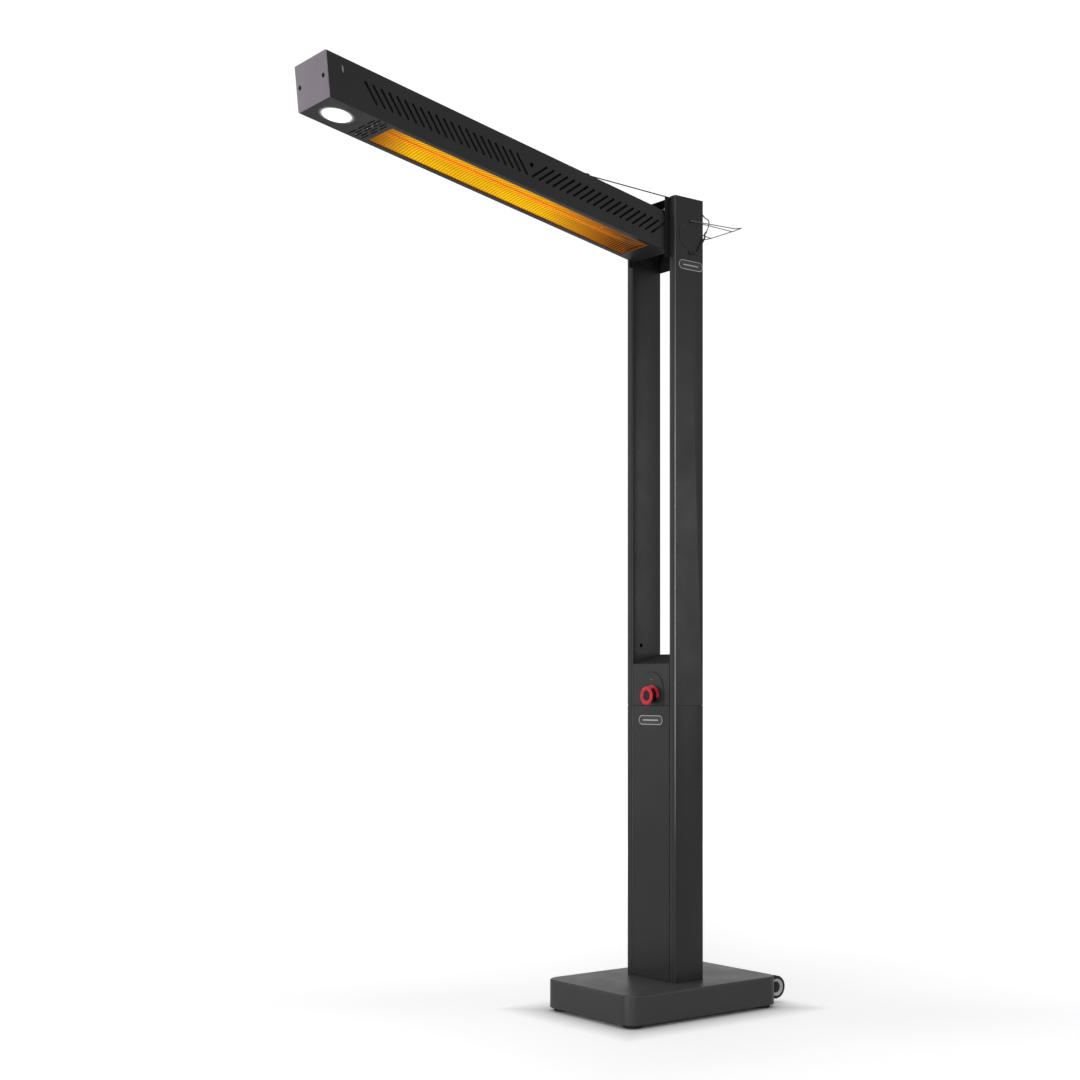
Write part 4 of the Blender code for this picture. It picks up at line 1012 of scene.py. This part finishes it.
def make_wheels(finish):
    """Rubber tyres with fine tread grooves on dished hubs with a dark hub cap."""
    for side, sign in (("left", -1), ("right", 1)):
        body = f"wheel_{side}"
        low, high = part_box(f"wheel_tyre_{side}")
        inner, outer = min(abs(low.x), abs(high.x)), max(abs(low.x), abs(high.x))
        radius = (high.z - low.z) / 2
        place = along_axis("x", (0, AXLE.y, AXLE.z), sign)
        rim, middle = 0.0228, (inner + outer) / 2
        tyre = [(rim, inner + 0.0010), (radius - 0.0040, inner)]
        tyre += [(radius - 0.0012, inner + 0.0010), (radius, inner + 0.0036)]
        for groove in (middle - 0.0035, middle, middle + 0.0035):
            tyre += groove_points(radius, groove, 0.0011, 0.0007, 0.0004)
        tyre += [(radius, outer - 0.0036), (radius - 0.0012, outer - 0.0010)]
        tyre += [(radius - 0.0040, outer), (rim, outer - 0.0010)]
        bm = bmesh.new()
        add_turned(bm, tyre, place, 64)
        piece(f"tyre_{side}", bm, finish["rubber"], body, [f"wheel_tyre_{side}"])
        bore, edge = 0.0043, 0.0225
        hub = [(bore, inner + 0.0020), (edge, inner + 0.0020), (edge, outer - 0.0015)]
        hub += [(0.0212, outer - 0.0012), (0.0196, outer - 0.0018), (0.0150, outer - 0.0056)]
        hub += [(0.0098, outer - 0.0062), (bore, outer - 0.0062)]
        bm = bmesh.new()
        add_turned(bm, hub, place, 64)
        piece(f"hub_{side}", bm, finish["grey_plastic"], body,
              [f"wheel_hub_{side}"])
        cap_edge, cap_foot = 0.0146, outer - 0.0061
        cap = [(0, cap_foot), (cap_edge, cap_foot), (cap_edge, outer - 0.0046)]
        cap += [(0.0120, outer - 0.0028), (0.0070, outer - 0.0020), (0, outer - 0.0018)]
        bm = bmesh.new()
        add_turned(bm, cap, place, 40)
        piece(f"hub_cap_{side}", bm, finish["black_plastic"], body)


# ---------------------------------------------------------------- wire and cable


def column(x, y, z):
    """A point whose y is measured from the column's middle."""
    return Vector((x, y + COLUMN_Y, z))


def make_wire_hook(finish):
    """Bent wires from the upper index hole, and the collars round both index holes."""
    post_face = HALF_WIDTH + 0.0040
    inner_x = 0.0625
    plate = HALF_DEPTH + 0.0004
    upper = PIVOT.z + INDEX_HOLE
    hole_y = 0.003
    loop = [(HALF_WIDTH - 0.008, hole_y, upper), (post_face, hole_y, upper)]
    loop += [(post_face, 0.160, upper + 0.0050), (post_face, 0.184, upper + 0.0115)]
    loop += [(inner_x, 0.184, upper + 0.0090), (inner_x, plate, upper + 0.0120)]
    elbow = (inner_x, 0.106, upper - 0.0212)
    brace = [(inner_x, 0.181, upper + 0.0085), elbow, (inner_x, plate, upper - 0.0150)]
    foot = [elbow, (0.038, 0.1035, upper - 0.0200), (0.034, plate, upper - 0.0170)]
    bm = bmesh.new()
    for points in (loop, brace, foot):
        path = rounded_bends([column(*p) for p in points], 0.0035)
        add_tube(bm, path, 0.0012, 12)
    piece("wire_hook_bent", bm, finish["hook_wire"], "stand", ["wire_hook"])
    bm = bmesh.new()
    for height, inside in ((upper, 0.0016), (PIVOT.z - INDEX_HOLE, 0.0043)):
        centre = column(HALF_WIDTH, hole_y, height)
        collar = [(inside, 0.0001), (0.0062, 0.0001), (0.0060, 0.0002), (inside, 0.0002)]
        add_turned(bm, collar, along_axis("x", centre), 32)
    # The collars are in the painted-shade black, darkening the holes.
    piece("index_grommets", bm, finish["painted_shade_black"], "stand")


def make_cables(finish):
    """The taut stay over the head, and the tail from the saddle to the lock pin."""
    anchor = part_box("cable_anchor")[1].y - COLUMN_Y
    start = column(CABLE_X, anchor + 0.0003, 2.1120)
    end = column(CABLE_X, SADDLE_Y - 0.00015, SADDLE_Z)
    steps = 60
    path = [start.lerp(end, i / steps) for i in range(steps + 1)]
    bm = bmesh.new()
    add_tube(bm, path, CABLE_RADIUS * 0.98, 14)
    stay = piece("stay_cable_rope", bm, finish["wire"], None, ["stay_cable"])
    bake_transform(stay)

    lower = PIVOT.z - INDEX_HOLE
    pin_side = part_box("lock_pin")[1].y - COLUMN_Y + 0.0003
    route = [
        (CABLE_X, SADDLE_Y + 0.00015, SADDLE_Z),
        (CABLE_X, HALF_DEPTH + 0.004, SADDLE_Z - 0.0012),
        (0.053, 0.074, 2.0895),
        (0.051, 0.0935, 2.0745),
        (0.0515, 0.1050, 2.0705),
        (0.0530, 0.1075, 2.0610),
        (0.0580, 0.0975, 2.0415),
        (0.0690, 0.0770, 2.0235),
        (0.0860, 0.0620, 2.0140),
        (0.0975, 0.0500, 2.0040),
        (0.0978, 0.0390, 1.9850),
        (0.0978, 0.0295, 1.9680),
        (0.0978, 0.0215, 1.9605),
        (0.0978, pin_side, lower),
    ]
    path = smooth_path([column(*p) for p in route], 5)
    sleeve_start = 32
    bm = bmesh.new()
    add_tube(bm, path, CABLE_RADIUS * 0.98, 12)
    tail = piece("cable_tail_rope", bm, finish["wire_rope"], None, ["cable_tail"])
    bm = bmesh.new()
    add_tube(bm, path[sleeve_start:], CABLE_RADIUS + 0.0008, 14)
    sleeve = piece("cable_tail_sleeve", bm, finish["rubber"], None)
    for part in (tail, sleeve):
        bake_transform(part)


# ---------------------------------------------------------------- studio


def make_studio():
    """The staged floor, the pale world and the softboxes."""
    bm = bmesh.new()
    add_prism(bm, rounded_rectangle(14, 14, 2, 8, (0, 2)), "z", -0.02, 0.0)
    mesh = bpy.data.meshes.new("floor")
    bm.to_mesh(mesh)
    bm.free()
    mesh.materials.append(studio_floor("pale_floor"))
    floor = bpy.data.objects.new("floor", mesh)
    bpy.context.collection.objects.link(floor)

    world = bpy.data.worlds.new("studio")
    world.use_nodes = True
    nodes, links = world.node_tree.nodes, world.node_tree.links
    background = nodes["Background"]
    background.inputs["Color"].default_value = (1, 1, 1, 1)
    seen = nodes.new("ShaderNodeLightPath").outputs["Is Camera Ray"]
    strength = nodes.new("ShaderNodeMapRange")
    strength.inputs["To Min"].default_value = WORLD_LIGHT
    strength.inputs["To Max"].default_value = 1.05
    links.new(seen, strength.inputs["Value"])
    links.new(strength.outputs["Result"], background.inputs["Strength"])
    bpy.context.scene.world = world
    bpy.context.scene.view_settings.view_transform = "Standard"

    # Each light has its place, the point it faces, its width and height, and its watts.
    for name, place, aim, size, power in (
        ("left_box", (-2.6, -1.6, 1.6), (0, 0.4, 1.2), (1.6, 2.6), 9),
        ("right_box", (2.6, 2.4, 1.5), (0, 0.4, 1.3), (1.0, 1.6), 8),
        ("top_box", (0.0, 0.0, 4.2), (0, 0.01, 0.0), (3.0, 3.0), 60),
        ("front_box", (0.6, -3.6, 0.8), (0, 0.0, 0.9), (1.6, 1.6), 34),
        ("corner_box", (3.9, -3.9, 1.7), (0, 0.3, 1.3), (1.2, 2.6), 42),
        ("back_box", (-3.6, 3.6, 1.0), (0, 0.2, 0.1), (2.4, 1.6), 5),
    ):
        light = bpy.data.lights.new(name, "AREA")
        light.shape = "RECTANGLE"
        light.size, light.size_y = size
        light.energy = power
        obj = bpy.data.objects.new(name, light)
        bpy.context.collection.objects.link(obj)
        obj.visible_camera = False
        obj.location = place
        towards = Vector(aim) - Vector(place)
        obj.rotation_euler = towards.to_track_quat("-Z", "Y").to_euler()


def make_camera():
    camera = bpy.data.cameras.new("camera")
    camera.lens = CAMERA_LENS
    camera.sensor_width = 36
    camera.shift_y = CAMERA_SHIFT
    obj = bpy.data.objects.new("camera", camera)
    bpy.context.collection.objects.link(obj)
    obj.location = CAMERA_FROM_COLUMN + Vector((0, COLUMN_Y, 0))
    obj.rotation_euler = (math.radians(90), 0, CAMERA_AZIMUTH)
    bpy.context.scene.camera = obj


def main():
    finish = make_finishes()
    for node, obj in frame["nodes"].items():
        obj.data.materials.clear()
        obj.data.materials.append(finish[SLOT_OF[node]])
    make_camera()
    make_cables(finish)
    make_wire_hook(finish)
    make_head(finish)
    make_stand(finish)
    make_studio()


main()
